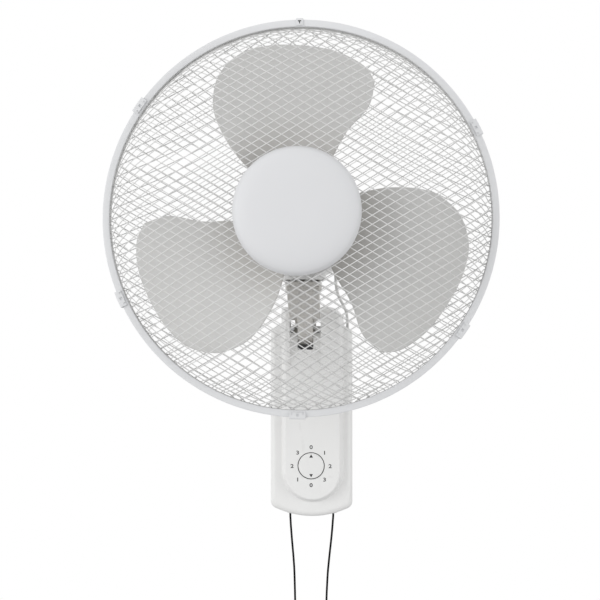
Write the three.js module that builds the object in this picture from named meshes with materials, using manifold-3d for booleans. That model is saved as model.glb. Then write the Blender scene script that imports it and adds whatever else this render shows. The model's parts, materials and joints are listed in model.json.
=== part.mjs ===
// Wall mounted fan: a column on a wall bracket, a tilting neck, a swinging head with
// domed mesh guards and a three-blade wheel, and two pull cords.
// Millimetres, +Z up. The wall is the plane y = 0, the fan blows towards -Y, and the
// origin is the middle of the wall bracket's back face.

import * as THREE from 'three';
import { mergeVertices } from 'three/addons/utils/BufferGeometryUtils.js';
import Module from 'manifold-3d';

const wasm = await Module();
wasm.setup();

// ---------------------------------------------------------------- driving dimensions

const GAP = 0.3; // between pieces that seat on each other
const RUN = 0.6; // between pieces that move past each other

// guards
const GUARD_R = 220; // outside of the guard ring
const RING_Y = -240; // middle plane of the guard ring
const RING_LENGTH = 18; // along the fan's axis
const RING_LIP = 9; // radial height of the ring's channel
const RING_WALL = 2.4;
const RING_STEPS = 30;
const RIM_WIRE_R = 2.4; // round wire round the edge of each guard
const FRONT_DOME = 79; // depth of the front guard in front of its rim
const REAR_DOME = 48.7; // depth of the rear guard behind its rim
const DOME_POWER = 4; // how square the dome's shoulder is
const MESH_ANGLE = THREE.MathUtils.degToRad(31); // wires against the horizontal
const MESH_PITCH = 56; // between neighbouring wires
const MESH_WIRE = 2.2;
const WELD = 1.2; // how much thicker the mesh is where wires cross
const HUB_RING_R = 57; // flat ring under the front cap, middle of its width
const HUB_RING_W = 8;
const HUB_RING_T = 3.4;
const CAP_R = 67;
const CAP_DEPTH = 14;
const REAR_PLATE_R = 61;
const PLATE = 3.6; // thickness of the rear guard's plate

const RIM_R = GUARD_R - RING_WALL - GAP - RIM_WIRE_R; // centre of each rim wire
const DOME_R = RIM_R - 6.6; // where a dome turns steep inside the ring
const FRONT_RIM_Y = RING_Y - RING_LENGTH / 2 + RING_WALL + GAP + RIM_WIRE_R;
const REAR_RIM_Y = RING_Y + RING_LENGTH / 2 - RING_WALL - GAP - RIM_WIRE_R;
const REAR_PLATE_Y = REAR_RIM_Y + REAR_DOME + 0.5 - PLATE / 2; // middle of the rear guard's plate
const HUB_RING_Y = FRONT_RIM_Y - FRONT_DOME; // front of the flat ring

// places of the axes, the fan axis' height follows from the motor housing below
const HEAD_X = -7.5; // fan axis and tilt fork stand left of the column's middle
const SWING_Y = -132; // vertical swing axis
const TILT_Y = -50; // horizontal tilt axis
const TILT_Z = 96;

// column
const COLUMN_W = 104;
const COLUMN_TOP = 109;
const COLUMN_BOTTOM = -133;
const COLUMN_FRONT = -66;
const COLUMN_BACK = -3.3;
const SPLIT_Y = -36; // where the front and back shells meet
const BOTTOM_SAG = 13; // how far the bottom edge bows down
const CORNER_R = 12;
const WALL = 2.5;
const PANEL_W = 79; // raised panel, at its foot
const PANEL_X = 1.5;
const PANEL_FACE = -78;
const PANEL_TOP = 133;
const PANEL_ROUND_Z = -75; // centre of the panel's round lower end
const PANEL_FLANK = 6.5; // how far the panel's sides lean in
const FORK_OPENING = 39; // clear width between the column's two ears
const FORK_OPENING_Z = 100;
const SLOT_W = 20; // narrow slot below the opening
const SLOT_Z = 79;
const SCOOP_Z = 57; // where the hollow in front of the neck starts
const DIAL_Z = -67;
const DIAL_R = 16;
const DIAL_GROOVE = 1;
const CORD_X = 27.5;
const CORD_Y = -50;
const CORD_R = 1;

// wall bracket
const BRACKET_W = 76;
const BRACKET_H = 150;
const BRACKET_T = 2.5;
const HOOK_W = 14;
const HOOK_Z = 52; // underside of the upper hook's neck
const HOOK_NECK = 3;
const HOOK_H = 13;
const SCREW_X = 26; // screw holes left and right of the middle
const KEYHOLE_Z = 30;
const KEYHOLE_SLOT = 12; // from the keyhole's round hole up to its slot's end
const SCREW_LOW_Z = -58;
const SEAT_T = 0.5; // pressed pad under each screw's head

// neck and tilt pivot
const COLLAR_R = 22;
const COLLAR_TOP = 162;
const COLLAR_H = 14;
const ARM_W = 38;
const TONGUE_W = 26;
const RIB_W = 19;
const TONGUE_R = 11;
const FORK_T = 3;
const WASHER_T = 1.6;
const BOLT_R = 3;

// swing drive
const POST_R = 8;
const BUSH_R = 10;
const SLEEVE_R = 13.5;
const SLEEVE_H = 11;
const SWING_ANGLE = THREE.MathUtils.degToRad(40);
const ANCHOR_R = 18.5; // fixed pin on the neck, from the swing axis
const CRANK_Y = -88; // shaft of the swing motor
const SWING_MOTOR_R = 18;
const SWING_MOTOR_H = 13;
const PIN_R = 2; // pins of the crank and the neck

// fan motor
const HOUSING_R = 61;
const HEAD_LIFT = 3; // the housing's underside above the neck's collar
const AXIS_Z = COLLAR_TOP + HEAD_LIFT + HOUSING_R; // fan axis above the origin
const HOUSING_WALL = 2.5;
const HOUSING_STEPS = 20;
const HOUSING_FRONT = -166;
const HOUSING_BACK = -57;
const STATOR_R = 40;
const STATOR_FRONT = -160;
const STATOR_BACK = -134;
const ROTOR_R = 22.4;
const AIR_GAP = 0.6;
const SHAFT_R = 4;
const BEARING_R = 7;
const BELL_WALL = 3;

// fan wheel
const BLADES = 3;
const WHEEL_Y = -273; // middle plane of the blades
const HUB_R = 41;
const HUB_FRONT = -294;
const HUB_BACK = -254;
const BLADE_T = 2.2;

// ---------------------------------------------------------------- tools

const point = (x, y) => new THREE.Vector2(x, y);
const degrees = THREE.MathUtils.degToRad;

// Turns a geometry into a solid with its faces pointing out.
function solid(geometry) {
  const bare = geometry.clone();
  bare.deleteAttribute('normal');
  bare.deleteAttribute('uv');
  const merged = mergeVertices(bare, 1e-4);
  const corners = merged.attributes.position;
  const faces = Uint32Array.from(merged.index.array);
  const [a, b, c] = [new THREE.Vector3(), new THREE.Vector3(), new THREE.Vector3()];
  let volume = 0;
  for (let i = 0; i < faces.length; i += 3) {
    a.fromBufferAttribute(corners, faces[i]);
    b.fromBufferAttribute(corners, faces[i + 1]);
    c.fromBufferAttribute(corners, faces[i + 2]);
    volume += a.dot(b.cross(c));
  }
  if (volume < 0) faces.reverse();
  const mesh = new wasm.Mesh({
    numProp: 3,
    vertProperties: Float32Array.from(corners.array),
    triVerts: faces,
    tolerance: 1e-3,
  });
  return new wasm.Manifold(mesh);
}

function geometryOf(body) {
  const mesh = body.getMesh();
  const geometry = new THREE.BufferGeometry();
  geometry.setAttribute('position', new THREE.BufferAttribute(Float32Array.from(mesh.vertProperties), 3));
  geometry.setIndex(new THREE.BufferAttribute(Uint32Array.from(mesh.triVerts), 1));
  geometry.computeVertexNormals();
  return geometry;
}

const join = (...bodies) => bodies.reduce((all, body) => all.add(body));
const cut = (body, ...tools) => tools.reduce((rest, tool) => rest.subtract(tool), body);

function polygon(pairs) {
  return new THREE.Shape(pairs.map(([x, y]) => point(x, y)));
}

// A block between two corners.
function block([x0, y0, z0], [x1, y1, z1]) {
  const geometry = new THREE.BoxGeometry(x1 - x0, y1 - y0, z1 - z0);
  return solid(geometry.translate((x0 + x1) / 2, (y0 + y1) / 2, (z0 + z1) / 2));
}

// Revolves [radius, height] pairs round the fan's own axis, Y.
function turned(profile, steps) {
  const onAxis = profile[0][0] === 0;
  const pairs = onAxis ? profile : [...profile, profile[0]];
  return solid(new THREE.LatheGeometry(pairs.map(([r, h]) => point(r, h)), steps));
}

// The same round a vertical axis at (x, y), with heights along Z.
function turnedUp(profile, steps, x = 0, y = 0) {
  const onAxis = profile[0][0] === 0;
  const pairs = onAxis ? profile : [...profile, profile[0]];
  const geometry = new THREE.LatheGeometry(pairs.map(([r, h]) => point(r, h)), steps);
  return solid(geometry.rotateX(Math.PI / 2).translate(x, y, 0));
}

const rod = (radius, low, high, steps, x, y) =>
  turnedUp([[0, low], [radius, low], [radius, high], [0, high]], steps, x, y);

// A rod along Y at (x, z).
function rodAlongY(radius, y0, y1, steps, x = 0, z = 0) {
  const geometry = new THREE.CylinderGeometry(radius, radius, y1 - y0, steps);
  return solid(geometry.translate(x, (y0 + y1) / 2, z));
}

// A rod along X at (y, z).
function rodAlongX(radius, x0, x1, steps, y, z) {
  const geometry = new THREE.CylinderGeometry(radius, radius, x1 - x0, steps);
  return solid(geometry.rotateZ(Math.PI / 2).translate((x0 + x1) / 2, y, z));
}

// Extrudes a front-view outline (x, z) from y = back to y = front.
function slab(shape, back, front, curveSegments = 8) {
  const options = { depth: back - front, bevelEnabled: false, curveSegments };
  const geometry = new THREE.ExtrudeGeometry(shape, options);
  return solid(geometry.rotateX(Math.PI / 2).translate(0, back, 0));
}

// Extrudes a side-view outline (y, z) over a width, centred on x.
function sideSlab(shape, width, x, curveSegments = 8) {
  const options = { depth: width, bevelEnabled: false, curveSegments };
  const geometry = new THREE.ExtrudeGeometry(shape, options);
  geometry.rotateY(Math.PI / 2).rotateX(Math.PI / 2);
  return solid(geometry.translate(x - width / 2, 0, 0));
}

// Extrudes a plan-view outline (x, y) from z = low to z = high.
function planSlab(shape, low, high, curveSegments = 8) {
  const options = { depth: high - low, bevelEnabled: false, curveSegments };
  return solid(new THREE.ExtrudeGeometry(shape, options).translate(0, 0, low));
}

// Joins front-view outlines with equally many points, each at its own y, into one body.
function loft(sections) {
  const count = sections[0].outline.length;
  const positions = [];
  const faces = [];
  for (const { outline, y } of sections) {
    for (const p of outline) positions.push(p.x, y, p.y);
  }
  for (let s = 0; s < sections.length - 1; s++) {
    for (let i = 0; i < count; i++) {
      const j = (i + 1) % count;
      const [a, b, c, d] = [s * count + i, s * count + j, (s + 1) * count + i, (s + 1) * count + j];
      faces.push(a, b, d, a, d, c);
    }
  }
  const last = (sections.length - 1) * count;
  for (const [a, b, c] of THREE.ShapeUtils.triangulateShape(sections[0].outline, [])) {
    faces.push(a, c, b);
    faces.push(last + a, last + b, last + c);
  }
  const geometry = new THREE.BufferGeometry();
  geometry.setAttribute('position', new THREE.Float32BufferAttribute(positions, 3));
  geometry.setIndex(faces);
  return solid(geometry);
}

// Points on an arc, its two ends included.
function arcPoints(cx, cy, radius, from, to, steps) {
  return Array.from({ length: steps + 1 }, (_, i) => {
    const angle = degrees(from + ((to - from) * i) / steps);
    return point(cx + radius * Math.cos(angle), cy + radius * Math.sin(angle));
  });
}

function finish(color, roughness, metalness = 0) {
  return () => new THREE.MeshStandardMaterial({ color, roughness, metalness });
}

const whitePlastic = finish(0xe8e8e7, 0.42);
const whiteWire = finish(0xe4e4e2, 0.38);
const bladePlastic = finish(0xbfbfbd, 0.35);
const greyPlastic = finish(0xb5b3ad, 0.5);
const blackPlastic = finish(0x1d1d1e, 0.45);
const nylon = finish(0xd9d6cc, 0.5);
const steel = finish(0xa9abad, 0.35, 1);
const laminations = finish(0x6f7276, 0.5, 0.9);
const copper = finish(0xb3642f, 0.35, 0.9);
const brass = finish(0xc7a24f, 0.3, 1);
const zinc = finish(0x9fa2a4, 0.45, 0.9);
const cordBlack = finish(0x161616, 0.7);
const cablePvc = finish(0xdededc, 0.5);

const group = new THREE.Group();
const head = new THREE.Group(); // origin on the fan's axis, in the plane of the wall
head.position.set(HEAD_X, 0, AXIS_Z);
group.add(head);

function place(name, body, material, parent = group) {
  const mesh = new THREE.Mesh(geometryOf(body), material());
  mesh.name = name;
  parent.add(mesh);
}

// ---------------------------------------------------------------- column outlines

// Front outline of the column: bowed bottom, rounded corners.
function columnOutline(inset) {
  const half = COLUMN_W / 2 - inset;
  const bottom = COLUMN_BOTTOM + inset;
  const foot = 10;
  const corner = Math.max(CORNER_R - inset, 1);
  const slope = THREE.MathUtils.radToDeg(Math.atan((2 * BOTTOM_SAG) / half));
  const reach = half - foot + foot * Math.sin(degrees(slope));
  const bow = (x) => bottom + BOTTOM_SAG * (x / half) ** 2;
  const footZ = bow(reach) + foot * Math.cos(degrees(slope));
  const steps = 6;
  const base = Array.from({ length: steps - 1 }, (_, i) => {
    const x = reach * ((2 * (i + 1)) / steps - 1);
    return point(x, bow(x));
  });
  return [
    ...base,
    ...arcPoints(half - foot, footZ, foot, slope - 90, 0, 2),
    ...arcPoints(half - corner, COLUMN_TOP - inset - corner, corner, 0, 90, 3),
    ...arcPoints(corner - half, COLUMN_TOP - inset - corner, corner, 90, 180, 3),
    ...arcPoints(foot - half, footZ, foot, 180, 270 - slope, 2),
  ];
}

// Front outline of the raised panel: round lower end, one full and one tight shoulder.
function panelOutline(inset) {
  const half = PANEL_W / 2 - inset;
  const wide = Math.max(20 - inset, 1);
  const tight = Math.max(6 - inset, 0.8);
  const top = PANEL_TOP - inset;
  return [
    ...arcPoints(PANEL_X, PANEL_ROUND_Z, half, 180, 360, 12),
    ...arcPoints(PANEL_X + half - wide, top - wide, wide, 0, 90, 4),
    ...arcPoints(PANEL_X - half + tight, top - tight, tight, 90, 180, 2),
  ];
}

// Hollow in the panel's face that makes room for the neck. More extra makes it bigger.
function scoop(extra) {
  const side = polygon([
    [PANEL_FACE - 10, SCOOP_Z - extra],
    [PANEL_FACE + extra, SCOOP_Z - extra],
    [COLUMN_FRONT + 2 + extra, FORK_OPENING_Z + 1],
    [COLUMN_FRONT + 2 + extra, PANEL_TOP + 10],
    [PANEL_FACE - 10, PANEL_TOP + 10],
  ]);
  return sideSlab(side, FORK_OPENING + 2 * extra, HEAD_X);
}

// ---------------------------------------------------------------- column pieces

const POSTS = [
  [-38, 84],
  [40, 84],
  [-40, -100],
  [40, -100],
];

function frontShell() {
  const skin = loft([
    { outline: columnOutline(0), y: SPLIT_Y },
    { outline: columnOutline(0), y: COLUMN_FRONT + 7 },
    { outline: columnOutline(2.4), y: COLUMN_FRONT + 2 },
    { outline: columnOutline(7), y: COLUMN_FRONT },
  ]);
  const panel = loft([
    { outline: panelOutline(0), y: COLUMN_FRONT + 4 },
    { outline: panelOutline(0.5), y: COLUMN_FRONT - 1 },
    { outline: panelOutline(PANEL_FLANK * 0.7), y: PANEL_FACE + 1.5 },
    { outline: panelOutline(PANEL_FLANK), y: PANEL_FACE },
  ]);
  const ears = loft([
    { outline: panelOutline(0), y: SPLIT_Y },
    { outline: panelOutline(0), y: COLUMN_FRONT + 2 },
  ]).intersect(block([-COLUMN_W, PANEL_FACE, COLUMN_TOP - 14], [COLUMN_W, 0, PANEL_TOP + 5]));
  const hollow = join(
    loft([
      { outline: columnOutline(WALL), y: SPLIT_Y + 2 },
      { outline: columnOutline(WALL), y: COLUMN_FRONT + 7 },
      { outline: columnOutline(WALL + 3), y: COLUMN_FRONT + WALL },
    ]),
    loft([
      { outline: panelOutline(WALL), y: SPLIT_Y + 2 },
      { outline: panelOutline(WALL + 1), y: COLUMN_FRONT },
      { outline: panelOutline(WALL + PANEL_FLANK), y: PANEL_FACE + WALL },
    ]),
  );
  const earWalls = FORK_OPENING / 2 + WALL;
  const kept = join(
    block([HEAD_X - earWalls, PANEL_FACE, 104], [HEAD_X + earWalls, 0, PANEL_TOP + 9]),
    scoop(WALL),
  );
  const space = cut(hollow, kept);
  const opening = block(
    [HEAD_X - FORK_OPENING / 2, PANEL_FACE - 9, FORK_OPENING_Z],
    [HEAD_X + FORK_OPENING / 2, 0, PANEL_TOP + 9],
  );
  const slot = block([HEAD_X - SLOT_W / 2, PANEL_FACE - 9, SLOT_Z], [HEAD_X + SLOT_W / 2, -30, FORK_OPENING_Z + 1]);
  const dialHole = rodAlongY(DIAL_R + DIAL_GROOVE, PANEL_FACE - 1, PANEL_FACE + 5, 20, 0, DIAL_Z);
  const cordHoles = [-1, 1].map((side) => rod(BUSHING_R + GAP, -140, -110, 10, side * CORD_X, CORD_Y));
  const lead = block([LEAD_X - 3.6, -62, COLUMN_TOP - 13], [LEAD_X + 3.6, -42, COLUMN_TOP + 1]);
  const posts = POSTS.map(([x, z]) => rodAlongY(4, COLUMN_FRONT + 1, SPLIT_Y, 6, x, z));
  const shell = cut(join(skin, panel, ears), space);
  return cut(join(shell, ...posts), opening, slot, scoop(0), dialHole, lead, ...cordHoles);
}

function backShell() {
  const rim = SPLIT_Y + GAP;
  const skin = loft([
    { outline: columnOutline(0), y: rim },
    { outline: columnOutline(0), y: COLUMN_BACK - 8 },
    { outline: columnOutline(1.2), y: COLUMN_BACK - 3 },
    { outline: columnOutline(4), y: COLUMN_BACK },
  ]);
  const space = loft([
    { outline: columnOutline(WALL), y: rim - 2 },
    { outline: columnOutline(WALL + 1), y: COLUMN_BACK - WALL },
  ]);
  const posts = POSTS.map(([x, z]) => rodAlongY(4, rim, COLUMN_BACK - 1, 6, x, z));
  const bores = POSTS.map(([x, z]) => rodAlongY(2, rim - 1, COLUMN_BACK + 1, 5, x, z));
  const slots = [-1, 1].map((side) => {
    const top = side * HOOK_Z + HOOK_NECK + GAP;
    return block([-HOOK_W / 2 - 1, COLUMN_BACK - WALL - 1, top - HOOK_H - 3], [HOOK_W / 2 + 1, 0, top]);
  });
  const inlet = rod(GROMMET_R + GAP, -140, -110, 10, INLET_X, INLET_Y);
  const windows = [-1, 1].flatMap((side) => [
    screwWindow(side * SCREW_X, KEYHOLE_Z - 6, KEYHOLE_Z + KEYHOLE_SLOT + 8),
    screwWindow(side * SCREW_X, SCREW_LOW_Z - 8, SCREW_LOW_Z + 8),
  ]);
  return cut(join(cut(skin, space), ...posts), ...bores, ...slots, ...windows, inlet);
}

// Window in the back wall that gives room to a screw's head on the bracket.
function screwWindow(x, low, high) {
  return block([x - 8.5, COLUMN_BACK - WALL - 1, low], [x + 8.5, 0, high]);
}

function wallBracket() {
  const half = BRACKET_W / 2;
  const high = BRACKET_H / 2;
  const r = 8;
  const plate = new THREE.Shape([
    ...arcPoints(half - r, r - high, r, -90, 0, 2),
    ...arcPoints(half - r, high - r, r, 0, 90, 2),
    ...arcPoints(r - half, high - r, r, 90, 180, 2),
    ...arcPoints(r - half, r - high, r, 180, 270, 2),
  ]);
  for (const side of [-1, 1]) {
    plate.holes.push(keyhole(side * SCREW_X, KEYHOLE_Z));
    plate.holes.push(new THREE.Path(arcPoints(side * SCREW_X, SCREW_LOW_Z, 2.6, 0, 315, 7)));
  }
  const hooks = [-1, 1].map((side) => hook(side * HOOK_Z));
  const seats = [-1, 1].flatMap((side) => [
    screwSeat(side * SCREW_X, KEYHOLE_Z + KEYHOLE_SLOT, 6),
    screwSeat(side * SCREW_X, SCREW_LOW_Z, 0),
  ]);
  return join(slab(plate, 0, -BRACKET_T), ...hooks, ...seats);
}

// Pressed pad round a screw's neck, open below where the neck comes in from a keyhole.
function screwSeat(x, z, open) {
  const [half, neck] = [6.5, 2.6];
  const front = -BRACKET_T - SEAT_T;
  const pad = block([x - half, front, z - half], [x + half, -BRACKET_T + 0.5, z + half]);
  const hole = rodAlongY(neck, front - 1, 0, 8, x, z);
  const way = block([x - neck, front - 1, z - open - half], [x + neck, 0, z]);
  return open > 0 ? cut(pad, hole, way) : cut(pad, hole);
}

// A keyhole: a round hole for the screw's head below a slot for its neck.
function keyhole(x, z) {
  const slot = 2.6;
  return new THREE.Path([
    ...arcPoints(x, z, 5, 120, 420, 8),
    ...arcPoints(x, z + KEYHOLE_SLOT, slot, 0, 180, 4),
  ]);
}

// A tab bent out of the bracket, with its lip turned up behind the shell's wall.
function hook(z) {
  const inner = COLUMN_BACK - WALL - GAP;
  const side = polygon([
    [-BRACKET_T + 1, z],
    [-BRACKET_T + 1, z + HOOK_NECK],
    [inner, z + HOOK_NECK],
    [inner, z + HOOK_H],
    [inner - BRACKET_T, z + HOOK_H],
    [inner - BRACKET_T, z],
  ]);
  return sideSlab(side, HOOK_W, 0);
}

const FORK_IN = TONGUE_W / 2 + GAP + WASHER_T + GAP; // inner face of each fork cheek

function tiltFork() {
  const foot = COLUMN_BACK - WALL - GAP;
  const base = block(
    [HEAD_X - FORK_IN - FORK_T - 6, foot - FORK_T, TILT_Z - 26],
    [HEAD_X + FORK_IN + FORK_T + 6, foot, TILT_Z + 8],
  );
  const cheek = new THREE.Shape([
    ...arcPoints(TILT_Y, TILT_Z, 10.5, 75, 285, 7),
    point(foot - FORK_T + 0.5, TILT_Z - 24),
    point(foot - FORK_T + 0.5, TILT_Z + 8),
  ]);
  cheek.holes.push(new THREE.Path(arcPoints(TILT_Y, TILT_Z, BOLT_R + GAP, 0, 315, 7)));
  const cheeks = [-1, 1].map((side) => sideSlab(cheek, FORK_T, HEAD_X + side * (FORK_IN + FORK_T / 2)));
  return join(base, ...cheeks);
}

// Hexagon bolt along X, its head on the left cheek.
function tiltBolt() {
  const out = FORK_IN + FORK_T + GAP;
  const shank = rodAlongX(BOLT_R, HEAD_X - out - 1, HEAD_X + out + 8, 8, TILT_Y, TILT_Z);
  return join(shank, rodAlongX(5.8, HEAD_X - out - 4, HEAD_X - out, 6, TILT_Y, TILT_Z));
}

function tiltNut() {
  const out = FORK_IN + FORK_T + GAP;
  const nut = rodAlongX(6.2, HEAD_X + out, HEAD_X + out + 5, 6, TILT_Y, TILT_Z);
  return cut(nut, rodAlongX(BOLT_R + GAP, HEAD_X + out - 1, HEAD_X + out + 6, 8, TILT_Y, TILT_Z));
}

function tiltWasher(side) {
  const middle = HEAD_X + side * (TONGUE_W / 2 + GAP + WASHER_T / 2);
  const disc = rodAlongX(10, middle - WASHER_T / 2, middle + WASHER_T / 2, 12, TILT_Y, TILT_Z);
  return cut(disc, rodAlongX(BOLT_R + GAP, middle - WASHER_T, middle + WASHER_T, 8, TILT_Y, TILT_Z));
}

// ---------------------------------------------------------------- switches and cords

const BUSHING_R = 4.5;
const BUSHING_TOP = -122;
const GROMMET_R = 6;
const INLET_X = 0;
const INLET_Y = -20;
const LEAD_X = 45.8;

const SWITCH_FRONT = PANEL_FACE + WALL + GAP;
const SWITCH_BACK = -50;
const LEVER_Y = -46.5; // middle of the lever's thickness
const LEVER_T = 3;
const LEVER_HALF = 3.2; // half the lever's height
const LEVER_REST = degrees(12.5); // how far the lever stands above level at rest
const BALL_R = 3.8; // end of the pull link

// Ratchet switch behind the dial, with a bore for the dial and a stub for the lever.
function speedSwitch() {
  const body = block([-17, SWITCH_FRONT, DIAL_Z - 19], [17, SWITCH_BACK, DIAL_Z + 19]);
  const lid = block([-13, SWITCH_BACK - 1, DIAL_Z - 15], [13, SWITCH_BACK + 1.2, DIAL_Z + 15]);
  const stub = rodAlongY(4, SWITCH_BACK - 1, LEVER_Y + LEVER_T / 2 + 1.5, 10, 0, DIAL_Z);
  const tags = [-9, -3, 3, 9].map((x) => block([x - 1.2, -60, DIAL_Z + 18], [x + 1.2, -59.2, DIAL_Z + 25]));
  const bore = rodAlongY(4 + GAP, SWITCH_FRONT - 1, SWITCH_FRONT + 12, 12, 0, DIAL_Z);
  return cut(join(body, lid, stub, ...tags), bore);
}

// Disc seen flush in the panel, on the switch's spindle.
function speedDial() {
  const face = PANEL_FACE + 0.3;
  return turned([
    [0, face],
    [DIAL_R - 0.6, face],
    [DIAL_R, face + 0.5],
    [DIAL_R, SWITCH_FRONT - 0.5],
    [4, SWITCH_FRONT - 0.5],
    [4, SWITCH_FRONT + 10],
    [0, SWITCH_FRONT + 10],
  ], 20).translate([0, 0, DIAL_Z]);
}

// Lever on the back of the speed switch, forked round the pull link.
function speedLever() {
  const hub = rodAlongY(8, LEVER_Y - LEVER_T / 2, LEVER_Y + LEVER_T / 2, 12);
  const arm = block([5, LEVER_Y - LEVER_T / 2, -LEVER_HALF], [CORD_X + 1, LEVER_Y + LEVER_T / 2, LEVER_HALF]);
  const fork = block([CORD_X - 5, CORD_Y - 4, -LEVER_HALF], [CORD_X + 6.2, LEVER_Y + LEVER_T / 2, LEVER_HALF]);
  const slot = block([CORD_X - 1.8, CORD_Y - 5, -4], [CORD_X + 3.2, CORD_Y + 2.4, 4]);
  const bore = rodAlongY(4 + GAP, LEVER_Y - 5, LEVER_Y + 5, 10);
  const level = cut(join(hub, arm, fork), bore, slot);
  return level.rotate([0, -THREE.MathUtils.radToDeg(LEVER_REST), 0]).translate([0, 0, DIAL_Z]);
}

// Pull link: a rod through the bushing, with a ball that rests on the lever's fork.
function speedLink() {
  const ballZ = DIAL_Z + CORD_X * Math.tan(LEVER_REST) + (LEVER_HALF + BALL_R + GAP) / Math.cos(LEVER_REST);
  const ball = new THREE.SphereGeometry(BALL_R, 10, 6).translate(CORD_X, CORD_Y, ballZ);
  return join(solid(ball), rod(1.4, CORD_TOP, ballZ, 8, CORD_X, CORD_Y));
}

// Pull switch for the swing, with a bore for its plunger.
function swingSwitch() {
  const front = COLUMN_FRONT + WALL + GAP;
  const body = block([-CORD_X - 8, front, -102], [-CORD_X + 8, -42, -78]);
  const neck = rod(5, -108, -101, 12, -CORD_X, CORD_Y);
  const tags = [-4, 4].map((x) => block([x - CORD_X - 1.2, -48, -79], [x - CORD_X + 1.2, -47.2, -71]));
  const bore = rod(2.4, -109, -84, 10, -CORD_X, CORD_Y);
  return cut(join(body, neck, ...tags), bore);
}

const swingPlunger = () => join(
  rod(2, -112, -88, 10, -CORD_X, CORD_Y),
  rod(1.4, CORD_TOP, -111, 8, -CORD_X, CORD_Y),
);

// Short sleeve in the column's floor that a pull cord runs through, its flange on the inside.
function cordBushing(side) {
  const bore = CORD_R + 1.2;
  return turnedUp([
    [bore, BUSHING_BOTTOM],
    [BUSHING_R, BUSHING_BOTTOM],
    [BUSHING_R, BUSHING_TOP - 1.6],
    [BUSHING_R + 1.3, BUSHING_TOP - 1.6],
    [BUSHING_R + 1.3, BUSHING_TOP],
    [bore, BUSHING_TOP],
  ], 10, side * CORD_X, CORD_Y);
}

// Grommet of the mains inlet in the floor of the back shell.
function mainsGrommet() {
  const floor = COLUMN_BOTTOM - GAP;
  return turnedUp([
    [3.6, floor - 2],
    [GROMMET_R + 2, floor - 2],
    [GROMMET_R + 2, floor],
    [GROMMET_R, floor],
    [GROMMET_R, floor + 5],
    [GROMMET_R + 1, floor + 6],
    [3.6, floor + 7],
  ], 10, INLET_X, INLET_Y);
}

const BUSHING_BOTTOM = -130.2;
const CORD_TOP = -128; // upper end of each free cord, inside its bushing

// Routes of the two pull cords, from the bushing down to the knob.
const SWING_ROUTE = [
  [-27.5, -50, -128.3], [-27.5, -50, -134], [-27.2, -50, -140], [-26.7, -50, -148],
  [-26.1, -50, -156], [-25.4, -50, -165], [-24.6, -50, -174], [-23.8, -50, -183],
  [-23.1, -50, -192], [-22.5, -50, -201], [-22.1, -50, -211], [-21.8, -50, -222],
  [-21.5, -50, -233], [-21.3, -50, -244], [-21.1, -50, -256], [-21, -50, -268],
  [-21, -50, -280], [-21, -50, -292], [-21, -50, -304], [-21, -50, -316],
];
const SPEED_ROUTE = [
  [27.5, -50, -128.3], [27.5, -50, -134], [27, -50, -141], [26.4, -50, -149],
  [25.6, -50, -158], [24.7, -50, -167], [23.7, -50, -176], [22.7, -50, -185],
  [21.8, -50, -194], [20.9, -50, -203], [20.2, -50, -213], [19.6, -50, -224],
  [19.1, -50, -235], [18.8, -50, -246], [18.6, -50, -257], [18.5, -50, -268],
  [18.5, -50, -280], [18.5, -50, -292], [18.5, -50, -304], [18.5, -50, -316],
];

// A tube of eight sides along a route.
function cordTube(route, radius, steps) {
  const curve = new THREE.CatmullRomCurve3(route.map(([x, y, z]) => new THREE.Vector3(x, y, z)));
  const section = new THREE.Shape(arcPoints(0, 0, radius, 0, 315, 7));
  return solid(new THREE.ExtrudeGeometry(section, { steps, extrudePath: curve }));
}

const KNOB_H = 22;

// Bell-shaped knob below a cord's end.
function knob([x, y, z]) {
  const top = z - GAP;
  return turnedUp([
    [0, top],
    [2.4, top],
    [3, top - 2],
    [3.6, top - KNOB_H * 0.45],
    [5.6, top - KNOB_H * 0.8],
    [5.8, top - KNOB_H * 0.94],
    [4.8, top - KNOB_H],
    [0, top - KNOB_H],
  ], 12, x, y);
}

function buildColumn() {
  place('wall_bracket', wallBracket(), steel);
  place('column_back_shell', backShell(), whitePlastic);
  place('column_front_shell', frontShell(), whitePlastic);
  place('tilt_fork', tiltFork(), steel);
  place('tilt_bolt', tiltBolt(), steel);
  place('tilt_nut', tiltNut(), steel);
  place('speed_switch', speedSwitch(), greyPlastic);
  place('swing_switch', swingSwitch(), greyPlastic);
  place('cord_bushing_left', cordBushing(-1), whitePlastic);
  place('cord_bushing_right', cordBushing(1), whitePlastic);
  place('mains_grommet', mainsGrommet(), whitePlastic);
  const wall = COLUMN_BACK - WALL - GAP;
  place('run_capacitor', capacitor(wall), blackPlastic);
  place('terminal_block', terminalBlock(wall), nylon);
}

// Box capacitor with rounded ends, lying on the back wall.
function capacitor(wall) {
  const shape = new THREE.Shape([...arcPoints(12, 30, 9, -90, 90, 5), ...arcPoints(-12, 30, 9, 90, 270, 5)]);
  const tags = [-8, 8].map((x) => block([x - 2.5, wall - 12, 38], [x + 2.5, wall - 11.2, 46]));
  return join(slab(shape, wall, wall - 22), ...tags);
}

// Strip of screw terminals on the back wall.
function terminalBlock(wall) {
  const body = block([-30, wall - 9, -34], [10, wall, -18]);
  const towers = [0, 1, 2, 3].map((i) => block([-28 + i * 10, wall - 14, -31], [-22 + i * 10, wall - 8, -21]));
  return join(body, ...towers);
}

function buildControls() {
  place('speed_dial', speedDial(), whitePlastic);
  place('speed_lever', speedLever(), nylon);
  place('speed_pull_link', speedLink(), steel);
  place('swing_pull_plunger', swingPlunger(), nylon);
  place('speed_cord', cordTube(SPEED_ROUTE, CORD_R, 31), cordBlack);
  place('swing_cord', cordTube(SWING_ROUTE, CORD_R, 31), cordBlack);
  place('speed_knob', knob(SPEED_ROUTE.at(-1)), blackPlastic);
  place('swing_knob', knob(SWING_ROUTE.at(-1)), blackPlastic);
}

// ---------------------------------------------------------------- neck

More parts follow.
